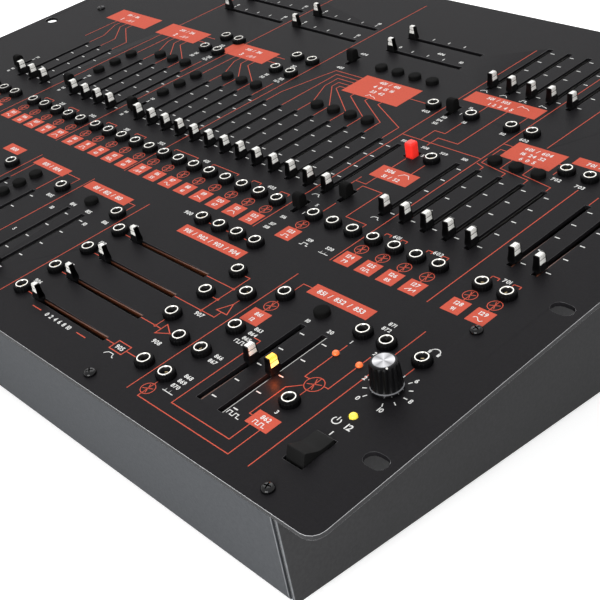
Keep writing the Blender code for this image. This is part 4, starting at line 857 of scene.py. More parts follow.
knob_mesh = finish_mesh("volume_knob_cap", knob, black_plastic, dark_chrome, spun_metal,
                        white_inlay)
put("volume_knob_cap", knob_mesh, at_joint("volume_knob"), "volume_knob",
    ("volume_knob",))
print("knob faces", len(knob_mesh.polygons))

# %% [markdown]
# ## Power: light and rocker
#
# A small domed lens sits in the panel, lit from below. The rocker lies in a dark well and tips on
# two pins, with its far end pressed. Its top is two slopes that meet in a soft valley, so the
# outline has rounded ends and a dip, and the moulding's edges are rounded.

# %% The power light
POWER = KNOB[0]
LENS = [(0.0, -6.0), (2.3, -6.0), (2.3, -2.65), (1.6, -2.65), (1.6, 0.0), (1.5, 0.5), (1.15, 0.9),
        (0.65, 1.1), (0.0, 1.15)]
lens = bmesh.new()
turn(lens, LENS, 32)
put("power_lens", finish_mesh("power_lens", lens, lens_lit), on_panel(POWER, row(4.08)),
    stands_for=("power_light",))
print("lens tall", LENS[-1][1])

# %% The rocker
PIN_SIDES = 16
PIN_RADIUS = 0.8
TOP_SIDE = [(7.3, 0.0), (7.0, 4.25), (6.85, 4.5), (6.5, 4.6), (5.6, 4.42), (3.0, 3.72),
            (1.2, 3.3), (0.0, 3.2)]
FOOT_SIDE = [(-7.3, -2.5), (-3.3, -5.0), (3.3, -5.0), (7.3, -2.5)]
turns = [2 * math.pi * side / PIN_SIDES for side in range(PIN_SIDES)]
pin = [(PIN_RADIUS * math.cos(angle), PIN_RADIUS * math.sin(angle)) for angle in turns]
outline = TOP_SIDE + [(-v, w) for v, w in reversed(TOP_SIDE[:-1])] + FOOT_SIDE
rocker = bmesh.new()
soften(rocker, draw_out(rocker, outline, -4.3, 4.3), 0.3, 3)
draw_out(rocker, pin, -5.7, 5.7)
tip = math.radians(JOINTS["power_rocker"]["range_deg"][1] / 2)
put("power_rocker_key", finish_mesh("power_rocker_key", rocker, soft_rubber),
    at_joint("power_rocker") @ Matrix.Rotation(-tip, 4, "X"), "power_rocker",
    ("power_rocker",))
print("rocker tips", JOINTS["power_rocker"]["range_deg"], "degrees")

# %% The rocker's well
ROCKER = row(2.34)
WELL_HALF = (6.8, 10.5)
BEARING = ((4.85, 6.6, 3.2, -1.95, 0.0), (4.62, 7.15, 3.75, -0.05, 0.03))
well = bmesh.new()
walls = block(well, (POWER - WELL_HALF[0], ROCKER - WELL_HALF[1], -14.0),
              (POWER + WELL_HALF[0], ROCKER + WELL_HALF[1], UNDERSIDE))
sink_top(well, walls, NO_WALL, 6.5)
for side in (-1, 1):
    for inner, outer, half, low, high in BEARING:
        left, right = sorted((POWER + side * inner, POWER + side * outer))
        block(well, (left, ROCKER - half, low), (right, ROCKER + half, high), 1)
put("rocker_well", finish_mesh("rocker_well", well, black_plastic, panel_paint), PANEL,
    stands_for=("rocker_frame",))
print("well at", [round(value, 1) for value in (POWER, ROCKER)])

# %% [markdown]
# ## Screws, feet and the back
#
# Black pan-head screws hold the panel to the case. The cross in each head is cut with a boolean
# from a real pan shape, as a punch would press it, and one head serves all. The feet are turned
# rubber with a recess for their own screw.

# %% Cut one mesh out of another
def carve(name, body, tool, *finishes):
    """Cut a bmesh out of another in millimetres, and finish the result."""
    things = []
    for mesh in (body, tool):
        data = bpy.data.meshes.new(name)
        bmesh.ops.recalc_face_normals(mesh, faces=mesh.faces)
        mesh.to_mesh(data)
        mesh.free()
        things.append(new_object(name, data))
    cut = things[0].modifiers.new("cut", "BOOLEAN")
    cut.object = things[1]
    cut.solver = "EXACT"
    graph = bpy.context.evaluated_depsgraph_get()
    made = bmesh.new()
    made.from_mesh(things[0].evaluated_get(graph).to_mesh())
    for thing in things:
        bpy.data.objects.remove(thing)
    return finish_mesh(name, made, *finishes)


# %% Panel screws
HEAD = [(0.0, -4.0), (1.4, -4.0), (1.4, 0.0), (2.55, 0.0), (2.62, 0.35), (2.5, 0.95), (2.05, 1.45),
        (1.3, 1.75), (0.0, 1.85)]
head = bmesh.new()
turn(head, HEAD, 32)
ARM, HALF = 1.45, 0.3
HEAD_TURN = 53.0
corner, rim = [(HALF, -ARM), (HALF, -HALF), (ARM, -HALF)], []
for _ in range(4):
    rim += corner
    corner = [(-y, x) for x, y in corner]
cross = bmesh.new()
draw_out(cross, rim, 0.75, 3.0)
bmesh.ops.rotate(cross, matrix=Matrix.Rotation(-math.pi / 2, 3, "Y"), verts=cross.verts)
screw_mesh = carve("screw", head, cross, screw_black)
SCREWS = [(352.5, 6.5), (454.5, 7.0), (456.3, 111.0), (456.3, PANEL_LENGTH - 111.0)]
SCREWS += [(PANEL_WIDTH - u, v) for u, v in SCREWS]
SCREWS += [(u, PANEL_LENGTH - v) for u, v in SCREWS if v < 50.0]
for number, (u, v) in enumerate(SCREWS, 1):
    put(f"panel_screw_{number}", screw_mesh, on_panel(u, v, 0.0, HEAD_TURN * number))
print("screws", len(SCREWS))

# %% Rubber feet
FOOT = [(0.0, 1.6), (2.6, 1.6), (2.8, 0.5), (3.2, 0.0), (6.9, 0.0), (7.5, 0.25), (7.8, 0.9),
        (8.6, 3.9), (8.95, 4.6), (9.0, 5.2), (0.0, 5.2)]
foot = bmesh.new()
turn(foot, FOOT, 48)
foot_mesh = finish_mesh("foot", foot, soft_rubber)
for name in ("foot_front_left", "foot_front_right", "foot_back_left", "foot_back_right"):
    low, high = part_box(name)
    middle = (low + high) / 2
    put(f"{name}_rubber", foot_mesh, Matrix.Translation((middle.x, middle.y, 0.0)),
        stands_for=(name,))
print("foot height", FOOT[-1][1])

# %% [markdown]
# The back wall has three kinds of openings: a mains inlet with three flat pins in a deep cavity,
# two large output sockets held by six-sided nuts, and two round data sockets with five holes. They
# are drawn facing up, round their own middle, and one matrix then stands them on the back wall.

# %% Place on the back wall
BACK = PANEL_LENGTH - 1.0
REAR_ROW = -60.0
FACING_BACK = Matrix(((-1, 0, 0, 0), (0, 0, 1, 0), (0, 1, 0, 0), (0, 0, 0, 1)))


def on_back(u):
    """Place on the back wall, with its own z pointing out of the wall."""
    return PANEL @ Matrix.Translation(Vector((u, BACK, REAR_ROW)) * MM) @ FACING_BACK


# %% Mains inlet
INLET_FRONT = 2.6
INLET_FLANGE = ((-24.0, -13.5, -13.7, 13.5), (13.7, -13.5, 24.0, 13.5), (-13.7, 9.9, 13.7, 13.5),
                (-13.7, -13.5, 13.7, -9.9))
INLET_SCREW = [(0.0, 2.4), (3.2, 2.4), (3.2, 2.7), (2.2, 3.5), (0.0, 3.6)]
inlet = bmesh.new()
sink_top(inlet, block(inlet, (-13.75, -10.0, -19.8), (13.75, 10.0, INLET_FRONT)), 1.5, 15.0)
for low_x, low_y, high_x, high_y in INLET_FLANGE:
    block(inlet, (low_x, low_y, 0.1), (high_x, high_y, INLET_FRONT))
for u, v in ((-7.0, -2.0), (0.0, 3.0), (7.0, -2.0)):
    soften(inlet, block(inlet, (u - 1.0, v - 2.0, -13.5), (u + 1.0, v + 2.0, -1.5), 1), 0.3)
for side in (-1, 1):
    turn(inlet, INLET_SCREW, 24, 2, place=(side * 20.0, 0.0, 0.0))
inlet_mesh = finish_mesh("mains_inlet_socket", inlet, black_plastic, nickel, screw_black)
put("mains_inlet_socket", inlet_mesh, on_back(column(4.72)),
    stands_for=("mains_inlet",))
print("inlet faces", len(inlet_mesh.polygons))

# %% Output and data sockets on their board
OUTPUTS, DATA = column(25.67), column(30.2)
REAR_PITCH = 24.0
BOARD_END = 14.0
MID = (OUTPUTS + DATA + REAR_PITCH) / 2
SPAN = (DATA + REAR_PITCH - OUTPUTS) / 2 + BOARD_END
OUTPUT_BUSH = [(0.0, -1.7), (4.5, -1.7), (4.5, 3.0), (4.2, 3.3), (3.6, 3.3), (3.3, 2.9),
               (3.3, -1.6), (0.0, -1.6)]
OUTPUT_NUT = [(3.9, 0.1), (6.5, 0.1), (6.6, 0.5), (6.6, 1.9), (6.0, 2.5), (3.9, 2.5), (3.9, 0.1)]
DATA_RING = [(0.0, -1.7), (7.4, -1.7), (7.4, 0.6), (7.2, 0.8), (6.7, 0.8), (6.5, 0.5),
             (6.5, -1.0), (0.0, -1.0)]
DATA_HOLE = [(0.55, -1.1), (0.95, -1.1), (0.95, -0.8), (0.55, -0.8), (0.55, -1.1)]
DATA_CIRCLE = 4.4


def rear_body(mesh, middle, half):
    """Moulded body of a rear socket, between the board and the wall."""
    faces = block(mesh, (middle - half, -half, -19.7), (middle + half, half, -1.6))
    soften(mesh, faces, 0.5)


rear = bmesh.new()
soften(rear, block(rear, (-SPAN, -12.0, -21.1), (SPAN, 12.0, -19.6), 1), 0.1)
for step in range(2):
    middle = MID - OUTPUTS - REAR_PITCH * step
    rear_body(rear, middle, 8.0)
    turn(rear, OUTPUT_BUSH, 40, 2, place=(middle, 0.0, 0.0))
    turn(rear, OUTPUT_NUT, 6, 2, place=(middle, 0.0, 0.0))
    middle = MID - DATA - REAR_PITCH * step
    rear_body(rear, middle, 9.0)
    turn(rear, DATA_RING, 48, 0, place=(middle, 0.0, 0.0))
    for hole in range(5):
        angle = math.radians(45.0 * hole)
        turn(rear, DATA_HOLE, 14, 2, place=(middle + DATA_CIRCLE * math.cos(angle),
                                            DATA_CIRCLE * math.sin(angle), 0.0))
put("rear_sockets", finish_mesh("rear_sockets", rear, black_plastic, board_green, nickel),
    on_back(MID), stands_for=("rear_socket_board",))
print("rear pieces stand at", [round(value, 3) for value in on_back(MID).translation])

# %% [markdown]
# ## Printed graphics
#
# On the real panel every line, plate and sign is screen-printed ink, a few hundredths of a
# millimetre thick. A texture could hold them, but then they would blur in a close view. So each
# is a very thin solid that stands in the paint: mitred strips for lines, flat blocks for plates,
# and rings for the mixing signs. Each module's print is one piece.

# %% Strips of ink
ORANGE, WHITE = 0, 1
INK_BACK = -0.05
INK_TOP = (0.03, 0.06)
LINE, THIN, BRACKET, TICK, DIAL_INK = 0.40, 0.34, 0.45, 0.5, 0.42
BOLD = 0.02
STEEPEST = 0.4


def strip(mesh, points, width=LINE, ink=ORANGE, closed=False):
    """Mitred strip of ink along (u, v) points."""
    points = [Vector(point) for point in points]
    count = len(points)
    rails = []
    for index, point in enumerate(points):
        back = points[index - 1] if index or closed else None
        ahead = points[(index + 1) % count] if index < count - 1 or closed else None
        ways = [(point - back).normalized()] if back else []
        ways += [(ahead - point).normalized()] if ahead else []
        along = sum(ways, Vector((0.0, 0.0))).normalized()
        side = Vector((-along.y, along.x))
        reach = width / 2 / max(STEEPEST, side.dot(Vector((-ways[0].y, ways[0].x))))
        corners = (point - side * reach, point + side * reach)
        rails.append([mesh.verts.new((*corner, w)) for w in (INK_BACK, INK_TOP[ink])
                      for corner in corners])
    faces = []
    pairs = list(zip(rails, rails[1:])) + ([(rails[-1], rails[0])] if closed else [])
    for (a, b, c, d), (e, f, g, h) in pairs:
        for corners in ((a, b, f, e), (c, g, h, d), (a, e, g, c), (b, d, h, f)):
            faces.append(mesh.faces.new(corners))
    if not closed:
        for a, b, c, d in (rails[0], rails[-1]):
            faces.append(mesh.faces.new((a, b, d, c)))
    paint_faces(faces, ink)


# %% Plates, dots and mixing signs
def plate(mesh, left, low, right, high, ink=ORANGE):
    """Filled rectangle of ink."""
    block(mesh, (left, low, INK_BACK), (right, high, INK_TOP[ink]), ink)


def stretches(mesh, *lines, width=LINE, ink=ORANGE):
    """Several strips at once."""
    for points in lines:
        strip(mesh, points, width, ink)


def on_circle(u, v, radius, angles):
    """Points on a circle, at angles in radians."""
    return [(u + radius * math.cos(angle), v + radius * math.sin(angle)) for angle in angles]


def dot(mesh, u, v, radius):
    """Disc of orange ink."""
    top = INK_TOP[ORANGE]
    turn(mesh, [(0.0, INK_BACK), (radius, INK_BACK), (radius, top), (0.0, top)], 24, ORANGE,
         place=(u, v, 0.0))


def mixing_sign(mesh, u, v, radius=3.0):
    """Circle with a cross, the sign for a level that is mixed in."""
    turns = [2 * math.pi * side / 32 for side in range(32)]
    strip(mesh, on_circle(u, v, radius, turns), THIN, ORANGE, True)
    arm, rise = radius * 0.7, radius * 0.7 * 0.45
    stretches(mesh, [(u - arm, v - rise), (u + arm, v + rise)],
              [(u - rise, v + arm), (u + rise, v - arm)], [(u, v - radius), (u, v + radius)],
              width=THIN)


# %% [markdown]
# Words have no place on this part, so each legend is a plain number: patch points, fader scales
# and the dial carry digits in Blender's own font, made once for each character and copied.

# %% Shapes of digits
digit_shapes = {}


def digit_shape(sign):
    """Corners and faces of one closed character of the built-in font, and its two end corners."""
    if sign not in digit_shapes:
        curve = bpy.data.curves.new("digit", "FONT")
        curve.body = sign
        curve.resolution_u = 3
        curve.extrude = 0.5
        curve.offset = BOLD
        thing = new_object("digit", curve)
        graph = bpy.context.evaluated_depsgraph_get()
        shape = bmesh.new()
        shape.from_mesh(bpy.data.meshes.new_from_object(thing.evaluated_get(graph)))
        bpy.data.objects.remove(thing)
        bmesh.ops.remove_doubles(shape, verts=shape.verts, dist=0.0005)
        shape.verts.index_update()
        corners = [vertex.co.copy() for vertex in shape.verts]
        faces = [[vertex.index for vertex in face.verts] for face in shape.faces]
        shape.free()
        low = Vector([min(co[axis] for co in corners) for axis in range(3)])
        high = Vector([max(co[axis] for co in corners) for axis in range(3)])
        digit_shapes[sign] = (corners, faces, low, high)
    return digit_shapes[sign]


print("digit 8 reaches", [round(value, 3) for value in digit_shape("8")[3]])

# %% Numbers of ink
DIGIT_GAP, WORD_GAP = 0.12, 0.5


def number(mesh, text, u, v, size=2.3):
    """White digits, centred on a place; size is their height."""
    tall = digit_shape("0")[3].y - digit_shape("0")[2].y
    space, blank = DIGIT_GAP * tall, WORD_GAP * tall
    shapes = [digit_shape(sign) if sign != " " else None for sign in str(text)]
    widths = [(shape[3].x - shape[2].x if shape else blank) + space for shape in shapes]
    pen = (space - sum(widths)) / 2
    for shape, width in zip(shapes, widths):
        if shape:
            corners, faces, low, _ = shape
            made = [mesh.verts.new(((co.x - low.x + pen) * size / tall + u,
                                    (co.y - tall / 2) * size / tall + v,
                                    INK_TOP[WHITE] if co.z > 0 else INK_BACK)) for co in corners]
            paint_faces([mesh.faces.new([made[index] for index in face]) for face in faces],
                        WHITE)
        pen += width


def numbers(mesh, *rows, size=2.3):
    """Several numbers at once, each with its place."""
    for text, u, v in rows:
        number(mesh, text, u, v, size)


def print_ink(name, mesh):
    """Set one module's print down on the panel."""
    data = finish_mesh(f"print_{name}", mesh, orange_ink, white_ink)
    put(f"print_{name}", data, PANEL)
    print(name, "print has", len(data.polygons), "faces")


# %% [markdown]
# Beside the digits the panel uses a few signs that any player knows: a square, saw and sine wave,
# a gate and an envelope. Each is one short strip, drawn in a box one unit wide and high and then
# sized, so a new place costs only one line.

# %% Wave and gate signs
SIGNS = {
    "square": [(0.0, 0.0), (0.0, 1.0), (0.25, 1.0), (0.25, 0.0), (0.5, 0.0), (0.5, 1.0),
               (0.75, 1.0), (0.75, 0.0), (1.0, 0.0)],
    "saw": [(0.0, 0.0), (0.5, 1.0), (0.5, 0.0), (1.0, 1.0), (1.0, 0.0)],
    "gate": [(0.0, 0.0), (0.25, 0.0), (0.25, 1.0), (0.75, 1.0), (0.75, 0.0), (1.0, 0.0)],
    "rise": [(0.0, 0.0), (0.3, 1.0), (0.7, 1.0), (1.0, 0.0)],
    "envelope": [(0.0, 0.0), (0.2, 1.0), (0.42, 0.55), (0.72, 0.5), (1.0, 0.0)],
    "pulse": [(0.0, 0.0), (0.2, 0.0), (0.2, 1.0), (0.2, 0.0), (0.6, 0.0), (0.6, 1.0), (0.6, 0.0),
              (1.0, 0.0)],
    "lag": [(0.0, 0.0), (0.08, 0.5), (0.22, 0.9), (0.4, 1.0), (0.7, 1.0), (0.76, 0.5), (0.86, 0.1),
            (1.0, 0.0)],
    "sine": [(step / 12, 0.5 + 0.5 * math.sin(2 * math.pi * step / 12)) for step in range(13)],
}


def sign(mesh, kind, u, v, wide=5.0, high=1.8):
    """White sign of a wave, its middle on a place."""
    points = [(u + (x - 0.5) * wide, v + (y - 0.5) * high) for x, y in SIGNS[kind]]
    strip(mesh, points, THIN, WHITE)


TICK_STEP = 11.18
BESIDE = 2.6


def ticks(mesh, slot, middle, beside=BESIDE):
    """Five short marks beside an upright slot."""
    u = slot + beside
    for index in range(-2, 3):
        v = middle + index * TICK_STEP
        strip(mesh, [(u, v), (u + 2.4, v)], TICK, WHITE)


def ticks_over(mesh, middle, slot, reach=2):
    """Short marks over a sideways slot, so many to each side of its middle."""
    for index in range(-reach, reach + 1):
        u = middle + index * TICK_STEP
        strip(mesh, [(u, slot + 3.2), (u, slot + 5.2)], TICK, WHITE)


print(len(SIGNS), "signs")


# %% [markdown]
# ## The patch row
#
# Under each socket of the long row stands an orange plate with the number of what feeds it when
# nothing is plugged in, and above the plate the mixing sign. The rows of marks beside the main
# faders are printed with them, because they repeat along the whole panel. Brackets under the
# faders join those that share a number.

# %% Print the patch row
row_print = bmesh.new()
FIRST_SOURCE = 101
PLATE_HALF, PLATE_LOW, PLATE_HIGH = 4.4, 114.3, 123.2
LOWER_LINE = 117.0
SOURCES = run_of(A, 4) + run_of(B, 5) + run_of(C, 13) + [ENVELOPE + PITCH] + run_of(AMPLIFIER, 4)
SOURCES += run_of(MIXER, 2)
KINDS = ("square", "saw", "sine", "envelope", "rise", "gate")
for index, u in enumerate(SOURCES):
    plate(row_print, u - PLATE_HALF, PLATE_LOW, u + PLATE_HALF, PLATE_HIGH)
    mixing_sign(row_print, u, 127.3)
    stretches(row_print, [(u, 123.0), (u, 124.4)], [(u, 130.2), (u, 131.2)])
    number(row_print, FIRST_SOURCE + index, u, 120.7)
    if index % 2:
        number(row_print, 10 + 3 * index, u, LOWER_LINE, 2.1)
    else:
        sign(row_print, KINDS[index // 2 % len(KINDS)], u, LOWER_LINE, 4.6, 1.7)
print(len(SOURCES), "plates")

# %% Marks and brackets of the main faders
MARKED = run_of(A + PITCH, 3) + run_of(B + PITCH, 4) + run_of(C + PITCH, 4) + run_of(FILTER, 8)
MARKED += [ENVELOPE + 3 * PITCH] + run_of(AMPLIFIER, 4) + run_of(MIXER, 2)
for u in MARKED:
    ticks(row_print, u, MAIN)
ticks(row_print, ENVELOPE, MAIN, -5.0)
BRACKET_TOP, BRACKET_FOOT = 142.2, 140.6
BRACKETS = ((236, 254), (266, 285), (296, 301.5), (315.5, 321), (176, 184), (202, 210.5),
            (114, 122), (139, 147.5), (382, 385), (391, 394), (405.5, 408), (413.5, 416.5),
            (439, 442.5), (449.5, 453))
for left, right in BRACKETS:
    stretches(row_print, [(left, BRACKET_TOP), (right, BRACKET_TOP)],
              [(left, BRACKET_TOP), (left, BRACKET_FOOT)],
              [(right, BRACKET_TOP), (right, BRACKET_FOOT)], width=BRACKET)
for text, u in ((401, 260), (402, 308.5), (301, 193), (302, 223.5), (201, 130.4), (202, 160.8),
                (601, 388), (602, 410.8), (701, 446)):
    number(row_print, text, u, 142.4)
print_ink("patch_row", row_print)

# %% [markdown]
# ## Oscillators
#
# The three oscillators share one layout: a name plate at the top from which lines run down to the
# faders that it feeds. It is printed once for each by shifting the same figures sideways. The
# first one has no fourth fader, so its plate is wider and its sockets' numbers are missing.

# %% Print the oscillators
SLOT_END = 205.0
PLATE_FOOT = 235.6
oscillators = bmesh.new()
for shift, count, hundred in ((0.0, 4, 3), (B - C, 4, 2), (A - C, 3, 1)):
    slots = [C + shift + PITCH * step for step in range(1, count + 1)]
    left, right = (160.0, 198.0) if count == 4 else (163.0, 205.0)
    plate(oscillators, left + shift, 235.5, right + shift, 250.2)
    number(oscillators, f"{hundred}01 / {hundred}16", 180.0 + shift, 246.0, 2.6)
    number(oscillators, hundred, 176.0 + shift, 239.6, 3.4)
    sign(oscillators, "saw", 184.0 + shift, 239.6, 6.0, 2.4)
    stretches(oscillators, [(C + shift, PLATE_FOOT), (C + shift, 210.0)])
    for step, u in enumerate(slots[:3]):
        start = 180.0 + shift + 6.0 * step
        stretches(oscillators, [(start, PLATE_FOOT), (start, 230.2), (u, 216.2), (u, SLOT_END)])
    if count == 4:
        stretches(oscillators, [(slots[3], 221.0), (slots[3], SLOT_END)],
                  [(198.0 + shift, 240.0), (206.0 + shift, 240.0)],
                  [(198.0 + shift, 246.5), (206.0 + shift, 246.5)])
        numbers(oscillators, (hundred * 100 + 11, 211.5 + shift, 227.2),
                (hundred * 100 + 12, 223.7 + shift, 227.2), (50, 211.5 + shift, 223.9),
                (hundred * 100 + 13, 218.0 + shift, 242.2))
        sign(oscillators, "square", 223.7 + shift, 223.9, 4.6, 1.5)
    number(oscillators, "1 2", 181.0 + shift, 158.0, 2.0)
    numbers(oscillators, (20, C + shift, 173.6), (5, C + shift, 170.4),
            (80, C - 0.5 + shift, 155.4), (10, C - 0.5 + shift, 152.2), size=1.9)
stretches(oscillators, *[[(u, 113.5), (u, 342.0)] for u in (103.7, 167.0, 229.5)])
for middle in (OSCILLATOR_B_TOP, OSCILLATOR_C_TOP):
    for v in TOP_SLIDE_ROWS:
        ticks_over(oscillators, middle, v)
        numbers(oscillators, (0, middle - 22.4, v + 7.2), (10, middle + 22.4, v + 7.2))
print_ink("oscillators", oscillators)

# %% [markdown]
# ## Filter
#
# Eight faders feed the filter, so eight lines fan out of its plate. Left ones leave the plate's
# side and step over each other, the rest leave below. Each is written as one list of corners.

# %% Print the filter
filter_print = bmesh.new()
plate(filter_print, 264.5, 233.3, 304.2, 253.6)
numbers(filter_print, ("401 / 416", 284.3, 250.4), ("4 8 15 16", 284.3, 245.4),
        ("23 42", 284.3, 240.4), size=2.7)
sign(filter_print, "envelope", 284.3, 235.8, 7.0, 2.4)
F = run_of(FILTER, 8)
FAN = ([(264.6, 249.8), (244.3, 249.8), (241.6, 240.0), (F[0], 216.0)],
       [(264.6, 246.3), (F[1], 246.3)],
       [(264.6, 243.0), (252.3, 243.0), (252.3, 233.0), (F[2], 216.5)],
       [(264.6, 239.6), (256.3, 239.6), (256.3, 234.5), (F[3], 216.5)],
       [(264.6, 236.4), (260.3, 236.4), (260.3, 233.6), (F[4], 216.5)],
       [(274.0, 233.4), (274.0, 230.6), (F[5], 216.5)],
       [(284.5, 233.4), (284.5, 230.6), (F[6], 216.5)],
       [(294.0, 233.4), (294.0, 230.4), (F[7], 217.0)])
for points, u in zip(FAN, F):
    strip(filter_print, points + [(u, SLOT_END)])
strip(filter_print, [(304.1, 243.5), (316.0, 243.5)])
numbers(filter_print, (403, 320.8, 237.0), (404, 243.6, 273.0), (405, 243.6, 253.8),
        (406, 283.0, 293.0), (10, 300.0, 289.6), (0, 256.0, 289.6))
for v in TOP_SLIDE_ROWS:
    ticks_over(filter_print, FILTER_TOP, v, 1)
print_ink("filter", filter_print)

# %% [markdown]
# ## Envelopes
#
# Two envelope generators share the middle of the panel. Their plates carry an envelope's outline,
# and the lines show how a gate, a trigger and the red button start them.

# %% Print the envelopes
envelopes = bmesh.new()
E = run_of(ENVELOPE, 5)
plate(envelopes, 329.0, 255.8, 373.2, 266.4)
number(envelopes, "501 / 505", 346.0, 263.6, 2.5)
sign(envelopes, "envelope", 362.0, 263.2, 7.0, 2.4)
number(envelopes, "1 2 3 4 5", 351.0, 258.6, 2.6)
plate(envelopes, 340.0, 175.2, 362.6, 185.6)
number(envelopes, 506, 347.0, 182.6, 2.6)
sign(envelopes, "rise", 356.0, 182.4, 6.5, 2.4)
number(envelopes, "51 / 52", 351.3, 178.0, 2.5)
for u in E:
    ticks(envelopes, u, TOP)
for u, kind in zip(E[:4], ("lag", "rise", "gate", "envelope")):
    sign(envelopes, kind, u, 268.6, 4.6, 1.5)
stretches(envelopes,
          [(326.7, 114.0), (326.7, 320.0)], [(375.6, 114.0), (375.6, 316.0)],
          [(326.7, 213.0), (375.6, 213.0)],
          [(E[1], 235.6), (E[1], 223.5), (338.5, 223.5), (338.5, 213.0)],
          [(E[2], 256.0), (E[2], 218.5), (E[1], 218.5), (E[1], 210.2)],
          [(E[1], 256.0), (E[1], 248.0)], [(369.5, 256.0), (369.5, 248.0)],
          [(E[1], 185.4), (E[1], 195.4)], [(E[2], 185.4), (E[2], 195.0)],
          [(E[1], 175.4), (E[1], 168.0), (338.5, 168.0)], [(338.5, 163.0), (338.5, 172.0)],
          [(E[1], 162.0), (E[1], 166.0), (E[2], 166.0), (E[2], 142.6), (369.5, 142.6),
           (369.5, 140.2)],
          [(E[1], 140.2), (E[1], 148.5)])
numbers(envelopes, (507, 333.0, 208.2), (508, 346.0, 208.0), (509, 357.6, 208.0),
        (510, 369.5, 208.8), (511, 345.6, 237.0), (512, 369.2, 237.0), (513, 333.4, 236.4),
        (514, 333.4, 233.0), (515, 333.4, 229.6), (10, 338.8, 250.6), (1, 338.4, 243.2),
        (5, 338.8, 142.6), (1, 338.4, 134.6), (516, 333.0, 127.2), (517, 333.0, 120.4),
        (518, 332.6, 117.2), (519, 357.4, 120.2), (520, 369.6, 120.2), (521, 351.2, 201.6),
        size=2.0)
sign(envelopes, "gate", 357.4, 116.7, 5.0, 1.7)
sign(envelopes, "pulse", 369.6, 116.7, 5.4, 1.7)
sign(envelopes, "lag", 332.2, 148.7, 4.6, 1.6)
sign(envelopes, "lag", 369.2, 148.7, 4.6, 1.6)
print_ink("envelopes", envelopes)

# %% [markdown]
# ## Amplifier and reverberator
#
# The amplifier's plate feeds its four faders from above, and takes the filter's line from the
# left. The reverberator's plate sits over its two sockets, with two faders beyond.

# %% Print the amplifier and the reverberator
amplifier = bmesh.new()
V = run_of(AMPLIFIER, 4)
plate(amplifier, 381.0, 219.4, 408.6, 234.6)
numbers(amplifier, ("601 / 604", 394.8, 231.2), ("16 24 32", 394.8, 226.7),
        ("6 0 5", 394.8, 222.3), size=2.6)
plate(amplifier, 413.0, 230.2, 440.5, 236.6)
number(amplifier, "701 / 704", 426.8, 233.4, 2.6)
stretches(amplifier,
          [(375.6, 229.5), (381.2, 229.5)],
          [(381.2, 224.5), (377.8, 224.5), (377.8, 210.6), (V[1], 208.0), (V[1], SLOT_END)],
          [(376.4, 209.0), (V[0], 207.4), (V[0], SLOT_END)],
          [(388.5, 219.6), (388.5, 210.6), (V[2], 208.4), (V[2], SLOT_END)],
          [(400.7, 219.6), (400.7, 211.0), (V[3], 208.4), (V[3], SLOT_END)],
          [(408.5, 227.0), (412.0, 227.0), (412.0, 218.0)],
          [(428.8, 114.5), (428.8, 213.0)],
          *[[(u, SLOT_END), (u, 212.0)] for u in run_of(MIXER, 2)],
          [(395.5, 236.0), (395.5, 300.0)])
numbers(amplifier, (602, 381.8, 237.0), (702, 415.8, 215.2), (703, 428.0, 215.2))
for u in run_of(MIXER, 2):
    ticks(amplifier, u, TOP)
print_ink("amplifier", amplifier)

# %% [markdown]
# ## Lower modules
#
# Along the near edge come the ring modulator, the noise source, the voltage processor with its
# sideways faders, the sample and hold with its clock, and the power corner.

# %% Print the ring modulator, the noise source and the multiples
TITLE = 2.7
near_print = bmesh.new()
for left, right, text, u in ((177.5, 205.2, "801 / 804", 191.3), (147.0, 162.0, 800, 154.5),
                             (224.0, 258.2, "811 / 812 / 813", 241.0)):
    plate(near_print, left, 92.0, right, 98.4)
    number(near_print, text, u, 95.2, TITLE)
stretches(near_print, [(205.0, 95.4), (RING_OUT, 95.4), (RING_OUT, 90.0)],
          [(258.0, 95.2), (NOISE_OUT, 95.2), (NOISE_OUT, 90.0)],
          *[[(u, 92.2), (u, 77.0)] for u in (RING, RING + 2 * PITCH)],
          *[[(u + 4.3, row(8.64)), (u + PITCH - 4.3, row(8.64))] for u in MULTIPLE[:3]],
          *[[(u, 14.0), (u, 100.0)] for u in (126.0, 174.5, 222.8, 268.5)])
number(near_print, 900, 291.6, 105.4, 2.4)
numbers(near_print, (814, 234.6, 79.0), (815, 247.6, 79.0), (816, NOISE_OUT, 77.6),
        (805, RING_OUT, 77.6), (10, 227.5, 71.2), (5, 228.0, 49.4), (10, 255.6, 71.2))
for u in NEAR_SLOTS:
    ticks(near_print, u, LOW)
print_ink("near_modules", near_print)

# %% Print the voltage processor
processor = bmesh.new()
plate(processor, 299.0, 92.0, 341.2, 98.5)
number(processor, "901 / 902 / 903 / 904", 320.1, 95.2, TITLE)
R = SLIDE_ROWS
START, END = SLIDES - 27.0, SLIDES + 27.0
JOIN = 357.0
stretches(processor, *[[(PROCESSOR + 4.0, v), (START, v)] for v in R],
          [(END, R[3]), (JOIN, R[3])], [(END, R[2]), (365.2, R[2]), (365.2, 62.8)],
          [(JOIN, R[2]), (JOIN, LOW_PATCH), (353.8, LOW_PATCH)], [(353.8, 67.6), (JOIN, 67.6)],
          [(END, R[1]), (353.0, R[1])], [(349.2, R[1]), (349.2, 45.8)],
          [(358.4, R[1]), (361.4, R[1])], [(END, R[0]), (345.0, R[0])],
          [(353.0, R[0]), (361.4, R[0])], [(365.2, 69.2), (365.2, 72.6)])
for u, v in ((JOIN, R[3]), (JOIN, 67.6), (JOIN, R[2]), (349.2, R[1])):
    dot(processor, u, v, 0.75)
for outline in ([(362.0, 62.8), (368.4, 62.8), (365.2, 69.2)],
                [(353.0, 37.9), (353.0, 44.5), (358.6, 41.2)],
                [(345.0, 20.9), (353.0, 20.9), (353.0, 26.2), (345.0, 26.2)]):
    strip(processor, outline, BRACKET, ORANGE, True)
sign(processor, "lag", 349.0, 18.4, 6.0, 1.8)
